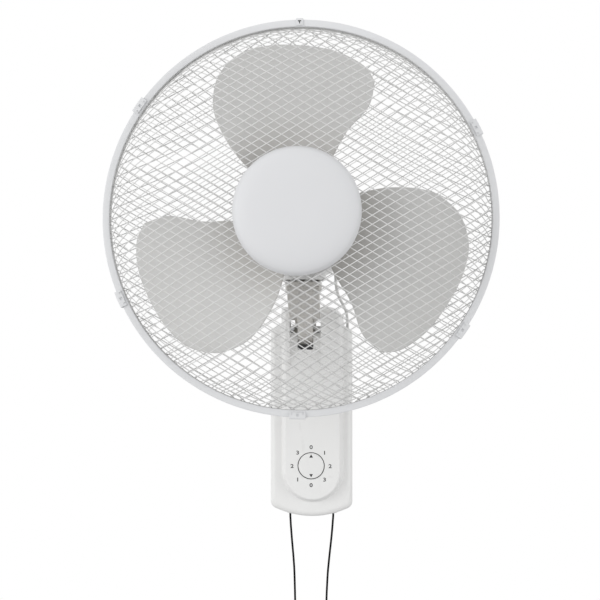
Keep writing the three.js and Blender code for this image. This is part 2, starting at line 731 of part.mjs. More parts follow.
const COLLAR_BOTTOM = COLLAR_TOP - COLLAR_H;

function neck() {
  const arm = polygon([
    [TILT_Y - 10, TILT_Z + 20],
    [TILT_Y - 20, TILT_Z + 32],
    [SWING_Y + 24, COLLAR_BOTTOM + 2],
    [SWING_Y + 21, COLLAR_TOP - 6],
    [SWING_Y - 19, COLLAR_TOP - 6],
    [SWING_Y - 19, COLLAR_BOTTOM + 2],
    [SWING_Y - 6, COLLAR_BOTTOM - 10],
    [TILT_Y - 36, TILT_Z + 22],
  ]);
  const tongue = polygon([
    [TILT_Y + 10, TILT_Z + 9],
    [TILT_Y - 12, TILT_Z + 33],
    [TILT_Y - 48, TILT_Z + 50],
    [TILT_Y - 32, TILT_Z + 22],
    [TILT_Y - 18, TILT_Z + 17],
    [TILT_Y - 6, TILT_Z + 9],
  ]);
  const rib = polygon([
    [TILT_Y - 6, TILT_Z - 12],
    [TILT_Y - 20, TILT_Z],
    [TILT_Y - 48, TILT_Z + 26],
    [SWING_Y - 6, COLLAR_BOTTOM - 8],
    [SWING_Y + 12, COLLAR_BOTTOM + 1],
    [TILT_Y - 18, TILT_Z + 18],
  ]);
  const collar = turnedUp([
    [0, COLLAR_BOTTOM - 8],
    [COLLAR_R * 0.6, COLLAR_BOTTOM - 7],
    [COLLAR_R * 0.93, COLLAR_BOTTOM],
    [COLLAR_R, COLLAR_BOTTOM + 3],
    [COLLAR_R, COLLAR_TOP - 1],
    [COLLAR_R - 1, COLLAR_TOP],
    [0, COLLAR_TOP],
  ], 18, HEAD_X, SWING_Y);
  const anchor = rod(PIN_R, COLLAR_TOP - 4, ANCHOR_TOP, 10, HEAD_X + ANCHOR_R, SWING_Y);
  const boss = rodAlongX(TONGUE_R, HEAD_X - TONGUE_W / 2, HEAD_X + TONGUE_W / 2, 14, TILT_Y, TILT_Z);
  const postBore = rod(POST_R + GAP, POST_FOOT - GAP, COLLAR_TOP + 1, 12, HEAD_X, SWING_Y);
  const boltBore = rodAlongX(BOLT_R + GAP, HEAD_X - TONGUE_W, HEAD_X + TONGUE_W, 8, TILT_Y, TILT_Z);
  const body = join(
    collar,
    sideSlab(arm, ARM_W, HEAD_X),
    sideSlab(tongue, TONGUE_W, HEAD_X),
    sideSlab(rib, RIB_W, HEAD_X),
    boss,
    anchor,
  );
  return cut(body, postBore, boltBore);
}

const POST_FOOT = COLLAR_TOP - 10;
const SLEEVE_FOOT = COLLAR_TOP + 1.5;
const SLEEVE_TOP = SLEEVE_FOOT + SLEEVE_H;
const CLIP_Z = SLEEVE_TOP + 0.5; // underside of the retaining ring
const POST_TOP = CLIP_Z + 2.8;
const ANCHOR_TOP = POST_TOP + 4.2;

// Post that the head swings on, with a groove for its retaining ring.
function swingPost() {
  return turnedUp([
    [0, POST_FOOT],
    [POST_R, POST_FOOT],
    [POST_R, CLIP_Z - GAP],
    [POST_R - 1.4, CLIP_Z - GAP],
    [POST_R - 1.4, CLIP_Z + 1.4 + GAP],
    [POST_R, CLIP_Z + 1.4 + GAP],
    [POST_R, POST_TOP],
    [0, POST_TOP],
  ], 12, HEAD_X, SWING_Y);
}

const ring = (inner, outer, low, high, steps, x, y) =>
  turnedUp([[inner, low], [outer, low], [outer, high], [inner, high]], steps, x, y);

function buildNeck() {
  place('neck', neck(), greyPlastic);
  place('tilt_washer_left', tiltWasher(-1), nylon);
  place('tilt_washer_right', tiltWasher(1), nylon);
  place('swing_post', swingPost(), steel);
  const washer = ring(POST_R + GAP, 13, COLLAR_TOP + GAP, SLEEVE_FOOT - GAP, 12, HEAD_X, SWING_Y);
  place('swing_washer', washer, nylon);
  const clip = ring(POST_R - 1.4 + GAP, 11.5, CLIP_Z, CLIP_Z + 1.4, 12, HEAD_X, SWING_Y);
  place('swing_retaining_ring', clip, steel);
}

// ---------------------------------------------------------------- head: swing drive
// From here on z is measured from the fan's axis, as the head's group is placed there.

const up = (z) => z - AXIS_Z;
const CRANK_R = ANCHOR_R * Math.sin(SWING_ANGLE);
const CRANK_X = (ANCHOR_R - CRANK_R + ANCHOR_R * Math.cos(SWING_ANGLE)) / 2;
const LINK_Z = up(POST_TOP) + 0.8; // underside of the link
const LINK_T = 2.6;
const SLOT_X = (ANCHOR_R * Math.cos(SWING_ANGLE) - ANCHOR_R + CRANK_R) / 2 + 0.5; // play of the link's eye
const SLOT_Y = 2.7;
const CRANK_Z = LINK_Z + LINK_T + 1; // underside of the crank
const CRANK_T = 3.6;
const SWING_MOTOR_Z = CRANK_Z + CRANK_T + 1;
const PLATE_FRONT = -115.7; // carrier plate behind the rear end bell
const PLATE_BACK = -111.5;

function motorCarrier() {
  const foot = up(SLEEVE_FOOT);
  const sleeve = rod(SLEEVE_R, foot, up(SLEEVE_TOP), 16, 0, SWING_Y);
  const shelf = block([-11, SWING_Y + 6, foot], [0, PLATE_BACK, foot + 5]);
  const stem = block([-11, PLATE_FRONT, foot], [0, PLATE_BACK, -30]);
  const plate = new THREE.Shape([
    ...arcPoints(22, -26, 8, -90, 0, 2),
    ...arcPoints(22, 18, 8, 0, 90, 2),
    ...arcPoints(-22, 18, 8, 90, 180, 2),
    ...arcPoints(-22, -26, 8, 180, 270, 2),
  ]);
  plate.holes.push(new THREE.Path(arcPoints(0, 0, BEARING_R + 4, 0, 330, 11)));
  const top = SWING_MOTOR_Z + SWING_MOTOR_H + GAP;
  const table = planSlab(new THREE.Shape([
    point(CRANK_X - 14, PLATE_FRONT),
    point(CRANK_X + 14, PLATE_FRONT),
    ...arcPoints(CRANK_X, CRANK_Y, SWING_MOTOR_R - 2, 0, 180, 6),
  ]), top, top + 3);
  const bore = rod(BUSH_R + GAP, foot - 1, up(SLEEVE_TOP) + 1, 12, 0, SWING_Y);
  return cut(join(sleeve, shelf, stem, slab(plate, PLATE_BACK, PLATE_FRONT), table), bore);
}

// Round geared motor that drives the swing, shaft down.
function swingMotor() {
  const top = SWING_MOTOR_Z + SWING_MOTOR_H;
  const can = rod(SWING_MOTOR_R, SWING_MOTOR_Z, top, 16, CRANK_X, CRANK_Y);
  const shaft = rod(3, CRANK_Z, SWING_MOTOR_Z + 1, 10, CRANK_X, CRANK_Y);
  return join(can, shaft);
}

function swingCrank() {
  const disc = rod(CRANK_R + 4, CRANK_Z, CRANK_Z + CRANK_T, 16, CRANK_X, CRANK_Y);
  const pin = rod(PIN_R, LINK_Z - 0.4, CRANK_Z + 1, 10, CRANK_X + CRANK_R, CRANK_Y);
  return cut(join(disc, pin), rod(3 + GAP, CRANK_Z - 1, CRANK_Z + CRANK_T + 1, 12, CRANK_X, CRANK_Y));
}

// Link from the crank's pin to the pin on the neck, where its hole is a wide eye.
function swingLink() {
  const x = CRANK_X + CRANK_R;
  const [wide, deep] = [PIN_R + SLOT_X, PIN_R + SLOT_Y];
  const rim = 2.6;
  const link = new THREE.Shape([
    ...arcPoints(x, CRANK_Y, 4.8, -45, 225, 8),
    ...arcPoints(x - wide + 3, SWING_Y + deep - 3, 3 + rim, 90, 180, 2),
    ...arcPoints(x - wide + 3, SWING_Y - deep + 3, 3 + rim, 180, 270, 2),
    ...arcPoints(x + wide - 3, SWING_Y - deep + 3, 3 + rim, 270, 360, 2),
    ...arcPoints(x + wide - 3, SWING_Y + deep - 3, 3 + rim, 0, 90, 2),
  ]);
  link.holes.push(new THREE.Path(arcPoints(x, CRANK_Y, PIN_R + GAP, 0, 324, 9)));
  link.holes.push(new THREE.Path([
    ...arcPoints(x - wide + 3, SWING_Y + deep - 3, 3, 90, 180, 2),
    ...arcPoints(x - wide + 3, SWING_Y - deep + 3, 3, 180, 270, 2),
    ...arcPoints(x + wide - 3, SWING_Y - deep + 3, 3, 270, 360, 2),
    ...arcPoints(x + wide - 3, SWING_Y + deep - 3, 3, 0, 90, 2),
  ]));
  return planSlab(link, LINK_Z, LINK_Z + LINK_T);
}

// ---------------------------------------------------------------- head: fan motor

function statorCore() {
  const shape = new THREE.Shape(arcPoints(0, 0, STATOR_R, 0, 337.5, 15));
  shape.holes.push(new THREE.Path(arcPoints(0, 0, ROTOR_R + AIR_GAP, 0, 337.5, 15)));
  return slab(shape, STATOR_BACK, STATOR_FRONT);
}

// End turns of the winding, a bun beside the core. Side is -1 in front, 1 behind.
function endWinding(side) {
  const face = (side < 0 ? STATOR_FRONT : STATOR_BACK) + side * GAP;
  const out = face + side * 11;
  return turned([[26, face], [36, face], [36, face + side * 6], [32, out], [26, out]], 14);
}

// Cast bell that carries a bearing. Side is -1 in front, 1 behind.
function endBell(side) {
  const face = (side < 0 ? STATOR_FRONT : STATOR_BACK) + side * GAP;
  const end = side < 0 ? -178 : -116;
  const inside = end - side * BELL_WALL;
  const seat = end - side * 8;
  return turned([
    [STATOR_R - BELL_WALL, face],
    [STATOR_R, face],
    [STATOR_R, end - side * 5],
    [STATOR_R - 5, end],
    [BEARING_R + GAP, end],
    [BEARING_R + GAP, seat],
    [BEARING_R + GAP + 2.5, seat],
    [BEARING_R + GAP + 2.5, inside],
    [STATOR_R - BELL_WALL, inside],
  ], 16);
}

function bearing(side) {
  const end = side < 0 ? -178 : -116;
  const near = end - side * 7.5;
  return turned([[SHAFT_R + 0.3, near], [BEARING_R, near], [BEARING_R, end], [SHAFT_R + 0.3, end]], 10);
}

function rotorCore() {
  return turned([
    [SHAFT_R + GAP, STATOR_FRONT - 3],
    [16, STATOR_FRONT - 3],
    [ROTOR_R, STATOR_FRONT],
    [ROTOR_R, STATOR_BACK],
    [16, STATOR_BACK + 3],
    [SHAFT_R + GAP, STATOR_BACK + 3],
  ], 14);
}

const SHAFT_FRONT = HUB_FRONT - 9;

function motorShaft() {
  return turned([
    [0, SHAFT_FRONT],
    [SHAFT_R - 0.8, SHAFT_FRONT],
    [SHAFT_R, SHAFT_FRONT + 1],
    [SHAFT_R, -113.5],
    [0, -113.5],
  ], 10);
}

const COVER_FRONT = REAR_PLATE_Y + PLATE / 2 + GAP;
const SPIGOT_R = 16;
const SPIGOT_FRONT = REAR_PLATE_Y - 13;

// Front cover of the motor, with the threaded spigot that takes the guard nut.
function frontCover() {
  const wall = HOUSING_WALL;
  const back = HOUSING_FRONT - GAP;
  const bellFace = -178 - GAP;
  return turned([
    [12, SPIGOT_FRONT],
    [SPIGOT_R, SPIGOT_FRONT],
    [SPIGOT_R, COVER_FRONT],
    [HOUSING_R - 4, COVER_FRONT],
    [HOUSING_R, COVER_FRONT + 5],
    [HOUSING_R, back],
    [HOUSING_R - wall, back],
    [HOUSING_R - wall, COVER_FRONT + 6],
    [HOUSING_R - 6, COVER_FRONT + wall],
    [22, COVER_FRONT + wall],
    [22, bellFace],
    [12, bellFace],
  ], HOUSING_STEPS);
}

// Half of the rear housing's section, moved in by an inset.
function housingProfile(inset) {
  const back = HOUSING_BACK - inset;
  return [
    [0, back],
    [HOUSING_R - 27 - inset * 0.2, back],
    [HOUSING_R - 13 - inset * 0.6, back - 6],
    [HOUSING_R - 4 - inset * 0.9, back - 17],
    [HOUSING_R - inset, back - 34],
  ];
}

function rearHousing() {
  const outer = [...housingProfile(0), [HOUSING_R, HOUSING_FRONT], [0, HOUSING_FRONT]];
  const innerR = HOUSING_R - HOUSING_WALL;
  const inner = [...housingProfile(HOUSING_WALL), [innerR, HOUSING_FRONT - 1], [0, HOUSING_FRONT - 1]];
  const space = turned(inner, HOUSING_STEPS);
  const skirt = cut(
    rod(COLLAR_R + 5, up(SLEEVE_FOOT), -40, 16, 0, SWING_Y),
    rod(COLLAR_R + 2.5, up(SLEEVE_FOOT) - 1, -30, 16, 0, SWING_Y),
    space,
  );
  const shell = cut(turned(outer, HOUSING_STEPS), space, rod(COLLAR_R + 2.5, -90, -30, 16, 0, SWING_Y));
  const lead = rod(LEAD_R + 0.9, -70, -30, 8, LEAD_TOP[0] - HEAD_X, LEAD_TOP[1]);
  const vents = [-2, -1, 0, 1, 2].map((row) => {
    const half = Math.sqrt(27 ** 2 - (row * 9) ** 2);
    return block([-half, HOUSING_BACK - 9, row * 9 - 2], [half, HOUSING_BACK + 5, row * 9 + 2]);
  });
  return cut(join(shell, skirt), lead, ...vents);
}

function guardNut() {
  const back = REAR_PLATE_Y - PLATE / 2 - GAP;
  const nut = turned([
    [SPIGOT_R + GAP, back],
    [32, back],
    [32, back - 2.5],
    [27, back - 4],
    [25, back - 10],
    [SPIGOT_R + GAP, back - 10],
  ], HOUSING_STEPS);
  const grips = [0, 1, 2, 3, 4, 5].map((i) => {
    const turn = (i * Math.PI) / 3;
    return rodAlongY(4, back - 11, back - 4.5, 5, 28 * Math.cos(turn), 28 * Math.sin(turn));
  });
  return cut(nut, ...grips);
}

// ---------------------------------------------------------------- fan wheel

// Blade outline seen from the front, as [radius, degrees] round the axis.
const LEADING = [[39, 72], [71, 62.5], [108, 61.8], [145, 58.7], [172, 61.5]];
const TIP = [[172, 61.5], [182, 68], [186, 80], [186.5, 96], [185, 108], [177, 116]];
const TRAILING = [[39, 128], [71, 137], [108, 134], [142, 128.7], [166, 121.5], [177, 116]];
const BLADE_MID = 97; // degrees, where the blade crosses the wheel's middle plane
const TWIST_ROOT = 0.68; // millimetres of axial lead for each degree, at the hub
const TWIST_TIP = 0.85;
const CAMBER = 5;

function polarCurve(pairs) {
  return new THREE.SplineCurve(pairs.map(([r, angle]) => {
    return point(r * Math.cos(degrees(angle)), r * Math.sin(degrees(angle)));
  }));
}

// Front-view point at (u, v): u runs from the leading to the trailing edge, v from hub to tip.
function bladePoint(curves, u, v) {
  const [lead, tip, trail] = curves;
  const rootAngle = degrees(LEADING[0][1] + (TRAILING[0][1] - LEADING[0][1]) * u);
  const root = point(Math.cos(rootAngle), Math.sin(rootAngle)).multiplyScalar(LEADING[0][0]);
  const across = root.multiplyScalar(1 - v).addScaledVector(tip.getPoint(u), v);
  const along = lead.getPoint(v).multiplyScalar(1 - u).addScaledVector(trail.getPoint(v), u);
  const corners = lead.getPoint(0).multiplyScalar((1 - u) * (1 - v))
    .addScaledVector(trail.getPoint(0), u * (1 - v))
    .addScaledVector(lead.getPoint(1), (1 - u) * v)
    .addScaledVector(trail.getPoint(1), u * v);
  return across.add(along).sub(corners);
}

function bladeHeight(p, u) {
  const radius = p.length();
  const angle = THREE.MathUtils.radToDeg(Math.atan2(p.y, p.x));
  const share = THREE.MathUtils.clamp((radius - HUB_R) / (GUARD_R - HUB_R), 0, 1);
  const twist = THREE.MathUtils.lerp(TWIST_ROOT, TWIST_TIP, share);
  return WHEEL_Y - twist * (angle - BLADE_MID) + CAMBER * share * 4 * u * (1 - u);
}

// A thin twisted sheet over the outline, closed round its edge.
function blade(turn) {
  const curves = [polarCurve(LEADING), polarCurve(TIP), polarCurve(TRAILING)];
  const [across, along] = [5, 5];
  const index = (side, i, j) => side * (across + 1) * (along + 1) + j * (across + 1) + i;
  const positions = [];
  const faces = [];
  for (const side of [0, 1]) {
    for (let j = 0; j <= along; j++) {
      for (let i = 0; i <= across; i++) {
        const p = bladePoint(curves, i / across, j / along);
        const y = bladeHeight(p, i / across) + (side ? BLADE_T / 2 : -BLADE_T / 2);
        const spun = p.clone().rotateAround(point(0, 0), turn);
        positions.push(spun.x, y, spun.y);
      }
    }
  }
  for (let j = 0; j < along; j++) {
    for (let i = 0; i < across; i++) {
      const [a, b, c, d] = [[i, j], [i + 1, j], [i + 1, j + 1], [i, j + 1]];
      for (const [p, q, r] of [[a, b, c], [a, c, d]]) {
        faces.push(index(0, ...p), index(0, ...q), index(0, ...r));
        faces.push(index(1, ...p), index(1, ...r), index(1, ...q));
      }
    }
  }
  const edge = [
    ...Array.from({ length: across }, (_, i) => [i, 0]),
    ...Array.from({ length: along }, (_, j) => [across, j]),
    ...Array.from({ length: across }, (_, i) => [across - i, along]),
    ...Array.from({ length: along }, (_, j) => [0, along - j]),
  ];
  edge.forEach((p, n) => {
    const q = edge[(n + 1) % edge.length];
    faces.push(index(0, ...p), index(1, ...p), index(1, ...q));
    faces.push(index(0, ...p), index(1, ...q), index(0, ...q));
  });
  const geometry = new THREE.BufferGeometry();
  geometry.setAttribute('position', new THREE.Float32BufferAttribute(positions, 3));
  geometry.setIndex(faces);
  return solid(geometry);
}

// Moulded wheel: a cup-shaped hub with a boss for the shaft, and its blades.
function fanWheel() {
  const hub = turned([
    [SHAFT_R + GAP, HUB_FRONT],
    [HUB_R - 12, HUB_FRONT],
    [HUB_R - 4, HUB_FRONT + 3],
    [HUB_R, HUB_FRONT + 10],
    [HUB_R, HUB_BACK],
    [HUB_R - 3.5, HUB_BACK],
    [HUB_R - 3.5, HUB_FRONT + 11],
    [HUB_R - 12, HUB_FRONT + 3.5],
    [9, HUB_FRONT + 3.5],
    [9, HUB_BACK + 2],
    [SHAFT_R + GAP, HUB_BACK + 2],
  ], 20);
  const blades = Array.from({ length: BLADES }, (_, i) => blade((i * 2 * Math.PI) / BLADES));
    const ribs = [0, 1, 2].map((i) => {
    const plate = block([8, HUB_FRONT + 3, -0.9], [HUB_R - 2, HUB_FRONT + 16, 0.9]);
    return plate.rotate([0, 120 * i, 0]);
  });
  return join(hub, ...blades, ...ribs);
}

function bladeNut() {
  const back = HUB_FRONT - GAP;
  const front = back - 17;
  return turned([
    [0, front],
    [7, front + 0.6],
    [12, front + 3.5],
    [15, front + 9],
    [16, back],
    [SHAFT_R + GAP, back],
    [SHAFT_R + GAP, SHAFT_FRONT - GAP],
    [0, SHAFT_FRONT - GAP],
  ], 16);
}

// ---------------------------------------------------------------- guards

// Section of a domed guard: distance along the wire's path from the middle against radius and height.
class DomeProfile {
  constructor(rimY, depth, side) {
    this.side = side; // -1 bulges to the front, 1 to the back
    this.samples = [];
    let length = 0;
    const steps = 240;
    let last = null;
    for (let i = 0; i <= steps; i++) {
      const t = Math.sin((i / steps) * Math.PI / 2);
      const height = rimY + side * depth * Math.sqrt(Math.max(0, 1 - t ** DOME_POWER));
      const here = point(t * DOME_R, height);
      if (last) length += here.distanceTo(last);
      this.samples.push({ s: length, r: here.x, y: here.y });
      last = here;
    }
    this.edge = length;
    const rimR = RIM_R * Math.cos(Math.PI / RING_STEPS) + RIM_WIRE_R / 2; // inside the faceted rim wire
    const rim = point(rimR, rimY + side * MESH_WIRE * 0.4);
    this.end = length + rim.distanceTo(last);
    this.samples.push({ s: this.end, r: rim.x, y: rim.y });
  }

  // Radius and height at a distance along the path.
  at(s) {
    const samples = this.samples;
    let high = samples.findIndex((sample) => sample.s >= s);
    if (high < 0) high = samples.length - 1;
    if (high === 0) return point(samples[0].r, samples[0].y);
    const [a, b] = [samples[high - 1], samples[high]];
    const share = (Math.min(s, b.s) - a.s) / (b.s - a.s);
    return point(a.r + (b.r - a.r) * share, a.y + (b.y - a.y) * share);
  }

  distanceAt(radius) {
    const high = this.samples.findIndex((sample) => sample.r >= radius);
    const [a, b] = [this.samples[high - 1], this.samples[high]];
    return a.s + ((b.s - a.s) * (radius - a.r)) / (b.r - a.r);
  }

  // Where a point of the flat mesh comes to lie, at a depth under the outer surface.
  map(flat, depth) {
    const s = flat.length();
    const p = this.at(s);
    const ahead = this.at(Math.min(s + 2, this.end));
    const behind = this.at(Math.max(s - 2, 0));
    const along = ahead.sub(behind).normalize();
    const inward = point(-this.side * along.y, this.side * along.x).multiplyScalar(-depth);
    const r = p.x + inward.x;
    const turn = flat.angle();
    return new THREE.Vector3(r * Math.cos(turn), p.y + inward.y, r * Math.sin(turn));
  }
}

// The outer skin of a body alone, without pockets sealed where wires run together.
function withoutPockets(body) {
  return body.decompose().reduce((most, piece) => (piece.volume() > most.volume() ? piece : most));
}

// Two families of crossing wires pressed over a dome, flat outside and ridged inside.
class WireMesh {
  constructor(profile, innerRadius) {
    this.profile = profile;
    this.inner = profile.distanceAt(innerRadius);
    this.side = MESH_PITCH / Math.sin(2 * MESH_ANGLE);
    this.lines = [
      point(Math.cos(MESH_ANGLE), Math.sin(MESH_ANGLE)),
      point(Math.cos(MESH_ANGLE), -Math.sin(MESH_ANGLE)),
    ];
    this.half = (WELD * MESH_WIRE) / 2 / Math.sin(2 * MESH_ANGLE);
    this.clear = 1.2 * MESH_WIRE; // least distance from a crossing to a bend
    this.positions = [];
    this.faces = [];
    this.known = new Map();
  }

  flat(i, j) {
    return point(0, 0).addScaledVector(this.lines[0], i * this.side).addScaledVector(this.lines[1], j * this.side);
  }

  inside(i, j) {
    const s = this.flat(i + 0.5, j + 0.5).length();
    return s > this.inner + MESH_WIRE && s < this.profile.end - MESH_WIRE;
  }

  vertex(p) {
    this.positions.push(p.x, p.y, p.z);
    return this.positions.length / 3 - 1;
  }

  // Two outer corners, the right one first, and the ridge point of a wire's section.
  // A sunk section has its first corner lower, as where the wire rolls into a ring.
  section(at, along, sunk = 0) {
    const across = point(along.y, -along.x).multiplyScalar(MESH_WIRE / 2);
    return [
      this.vertex(this.profile.map(at.clone().add(across), sunk)),
      this.vertex(this.profile.map(at.clone().sub(across), 0)),
      this.vertex(this.profile.map(at, MESH_WIRE)),
    ];
  }

  // Corners of a crossing, in turn round it, and its ridge point.
  crossing(i, j) {
    const key = `${i},${j}`;
    if (!this.known.has(key)) {
      const middle = this.flat(i + 0.5, j + 0.5);
      const corner = (a, b) => this.vertex(this.profile.map(
        middle.clone().addScaledVector(this.lines[0], a * this.half).addScaledVector(this.lines[1], b * this.half), 0));
      this.known.set(key, {
        middle,
        corners: [corner(1, -1), corner(1, 1), corner(-1, 1), corner(-1, -1)],
        ridge: this.vertex(this.profile.map(middle, WELD * MESH_WIRE)),
      });
    }
    return this.known.get(key);
  }

  // Skin between two sections [right, left, ridge].
  bridge([r0, l0, m0], [r1, l1, m1]) {
    this.faces.push(r0, l0, l1, r0, l1, r1, l0, m0, m1, l0, m1, l1, m0, r0, r1, m0, r1, m1);
  }

  // Runs a wire from one section through flat points, and closes its end if it has one.
  run(start, route, along, end) {
    let last = start;
    for (const at of route) {
      const atEnd = !end && at === route.at(-1);
      const next = this.section(at, along, atEnd ? MESH_WIRE / 4 : 0);
      this.bridge(last, next);
      last = next;
    }
    if (end) this.bridge(last, end);
    else this.faces.push(last[0], last[1], last[2]);
  }

  // Point on the line from a flat point where its distance from the middle becomes s.
  reach(from, along, s) {
    const b = from.dot(along);
    const c = from.lengthSq() - s * s;
    const root = Math.sqrt(Math.max(0, b * b - c));
    const t = c < 0 ? -b + root : -b - root;
    return from.clone().addScaledVector(along, t);
  }

  build() {
    const span = Math.ceil(this.profile.end / this.side / Math.sin(MESH_ANGLE)) + 1;
    for (let i = -span; i <= span; i++) {
      for (let j = -span; j <= span; j++) {
        if (this.inside(i, j)) this.addCrossing(i, j);
      }
    }
    const geometry = new THREE.BufferGeometry();
    geometry.setAttribute('position', new THREE.Float32BufferAttribute(this.positions, 3));
    geometry.setIndex(this.faces);
    return solid(geometry);
  }

  addCrossing(i, j) {
    const here = this.crossing(i, j);
    const [a, b, c, d] = here.corners;
    this.faces.push(a, b, c, a, c, d);
    const m = here.ridge;
    const ways = [
      { step: [1, 0], along: this.lines[0].clone(), start: [b, a, m], take: 2 },
      { step: [-1, 0], along: this.lines[0].clone().negate(), start: [d, c, m], take: 0 },
      { step: [0, 1], along: this.lines[1].clone(), start: [c, b, m], take: 3 },
      { step: [0, -1], along: this.lines[1].clone().negate(), start: [a, d, m], take: 1 },
    ];
    for (const way of ways) {
      const [ni, nj] = [i + way.step[0], j + way.step[1]];
      if (this.inside(ni, nj)) {
        if (way.step[0] + way.step[1] > 0) this.addWire(way, here, this.crossing(ni, nj));
      } else {
        this.addEnd(way, here);
      }
    }
  }

  addWire(way, here, there) {
    const far = there.corners;
    const end = [far[way.take], far[(way.take + 1) % 4], there.ridge];
    const middle = here.middle.clone().add(there.middle).multiplyScalar(0.5);
    const edge = this.profile.edge;
    const [low, high] = [here.middle.length(), there.middle.length()].sort((p, q) => p - q);
    const route = [];
    if (low < edge - this.clear && high > edge + this.clear) {
      route.push(this.reach(here.middle, way.along, edge));
    } else if (middle.length() > edge * 0.72 && high - low > this.side / 2) {
      route.push(middle);
    }
    this.run(way.start, route, way.along, end);
  }

  addEnd(way, here) {
    const next = here.middle.clone().addScaledVector(way.along, this.side);
    const outward = next.length() > here.middle.length();
    const s = outward ? this.profile.end : this.inner;
    const stop = this.reach(here.middle, way.along, s);
    const route = [];
    const edge = this.profile.edge;
    if (outward && here.middle.length() < edge - this.clear) {
      const bend = this.reach(here.middle, way.along, edge);
      if (bend.distanceTo(here.middle) > 24) route.push(here.middle.clone().add(bend).multiplyScalar(0.5));
      route.push(bend);
    }
    route.push(stop);
    this.run(way.start, route, way.along, null);
  }
}

// Wire bent into a circle, drawn with a square section of half the side given.
function hoop(radius, y, half, steps) {
  return turned([
    [radius - half, y - half],
    [radius + half, y - half],
    [radius + half, y + half],
    [radius - half, y + half],
  ], steps);
}

// Flat ring round the fan's axis, its front face at a place along it.
function flatRing(inner, outer, front, thickness) {
  return turned([
    [inner, front],
    [outer, front],
    [outer, front + thickness],
    [inner, front + thickness],
  ], HOUSING_STEPS);
}

function frontGuard() {
  const profile = new DomeProfile(FRONT_RIM_Y, FRONT_DOME, -1);
  const [inner, outer] = [HUB_RING_R - HUB_RING_W / 2, HUB_RING_R + HUB_RING_W / 2];
  return withoutPockets(join(
    new WireMesh(profile, inner + 1).build(),
    hoop(RIM_R, FRONT_RIM_Y, RIM_WIRE_R, RING_STEPS),
    flatRing(inner, outer, HUB_RING_Y, HUB_RING_T),
  ));
}

function rearGuard() {
  const profile = new DomeProfile(REAR_RIM_Y, REAR_DOME, 1);
  return withoutPockets(join(
    new WireMesh(profile, REAR_PLATE_R - HUB_RING_W).build(),
    hoop(RIM_R, REAR_RIM_Y, RIM_WIRE_R, RING_STEPS),
    flatRing(SPIGOT_R + GAP, REAR_PLATE_R, REAR_PLATE_Y - PLATE / 2, PLATE),
  ));
}

// Channel-shaped ring that holds the rims of both guards together.
function guardRing() {
  const [front, back] = [RING_Y - RING_LENGTH / 2, RING_Y + RING_LENGTH / 2];
  const lip = GUARD_R - RING_LIP;
  const inside = GUARD_R - RING_WALL;
  return turned([
    [lip, front],
    [GUARD_R - 1, front],
    [GUARD_R, front + 1.5],
    [GUARD_R, back],
    [lip, back],
    [lip, back - RING_WALL],
    [inside, back - RING_WALL],
    [inside, front + RING_WALL],
    [lip, front + RING_WALL],
  ], RING_STEPS);
}

const CLIP_ANGLES = [27, 144.7, 204, 269.4, 325.4];
const CLIP_LENGTH = 27;
const CLIP_T = 2.6;

// Snap clip over the ring, drawn at the ring's right side and then turned to its place.
function guardClip(angle) {
  const front = RING_Y - RING_LENGTH / 2 - GAP;
  const back = RING_Y + RING_LENGTH / 2;
  const low = GUARD_R + GAP;
  const high = low + CLIP_T;
  const section = new THREE.Shape([
    point(low, front),
    point(GUARD_R - RING_LIP + 1.5, front),
    point(GUARD_R - RING_LIP + 1, front - 2.2),
    point(high - 1, front - 2.2),
    point(high, front - 1),
    point(high, back - 2),
    point(high - 1, back - 0.6),
    point(low, back - 0.6),
  ]);
  const options = { depth: CLIP_LENGTH, bevelEnabled: false };
  const bar = solid(new THREE.ExtrudeGeometry(section, options).translate(0, 0, -CLIP_LENGTH / 2));
  const notch = block([low - 2, front - 1, -4], [low + CLIP_T / 2, front + 12, 4]);
  return cut(bar, notch).rotate([0, -angle, 0]);
}

// Hooked tab at the top of the ring, where the front guard hangs while it is being clipped.
function topCatch() {
  const front = RING_Y - RING_LENGTH / 2 - GAP;
  const side = polygon([
    [front - 2, GUARD_R - RING_LIP + 1],
    [front, GUARD_R - RING_LIP + 1],
    [front, GUARD_R + GAP],
    [RING_Y + 2, GUARD_R + GAP],
    [RING_Y + 2, GUARD_R + 2],
    [front - 2, GUARD_R + 2],
  ]);
  return sideSlab(side, 9, 0);
}

const BOSS_R = 23; // hollow boss in the middle of the front cap
const RETAINER_Y = HUB_RING_Y + HUB_RING_T + GAP;

function frontCap() {
  const rim = HUB_RING_Y - GAP;
  const front = rim - CAP_DEPTH;
  const wall = 2.2;
  return turned([
    [0, front],
    [CAP_R * 0.5, front + 0.7],
    [CAP_R * 0.78, front + 2.8],
    [CAP_R * 0.94, front + 7],
    [CAP_R, rim],
    [CAP_R - wall, rim],
    [CAP_R * 0.93 - wall, front + 8],
    [CAP_R * 0.74 - wall, front + 4.6],
    [BOSS_R, front + wall + 1.2],
    [BOSS_R, RETAINER_Y - GAP],
    [BOSS_R - 3, RETAINER_Y - GAP],
    [BOSS_R - 3, front + wall + 0.6],
    [0, front + wall + 0.6],
  ], 20);
}

// Disc behind the front guard that the cap's boss is screwed to.
function capRetainer() {
  return turned([
    [BOSS_R - 8, RETAINER_Y],
    [HUB_RING_R + HUB_RING_W / 2, RETAINER_Y],
    [HUB_RING_R + HUB_RING_W / 2, RETAINER_Y + 2],
    [BOSS_R - 8, RETAINER_Y + 2],
  ], 20);
}

// ---------------------------------------------------------------- motor lead

const LEAD_R = 2.5;
const LEAD_TOP = [31, -104];
const LEAD_ROUTE = [
  [31, -104, 181], [31, -104, 172], [31.5, -102, 160], [33.5, -96, 149],
  [37, -86, 141], [41, -75, 134], [44.3, -64, 126], [45.6, -55, 116],
  [45.8, -50.5, 107], [45.8, -50, 98],
];

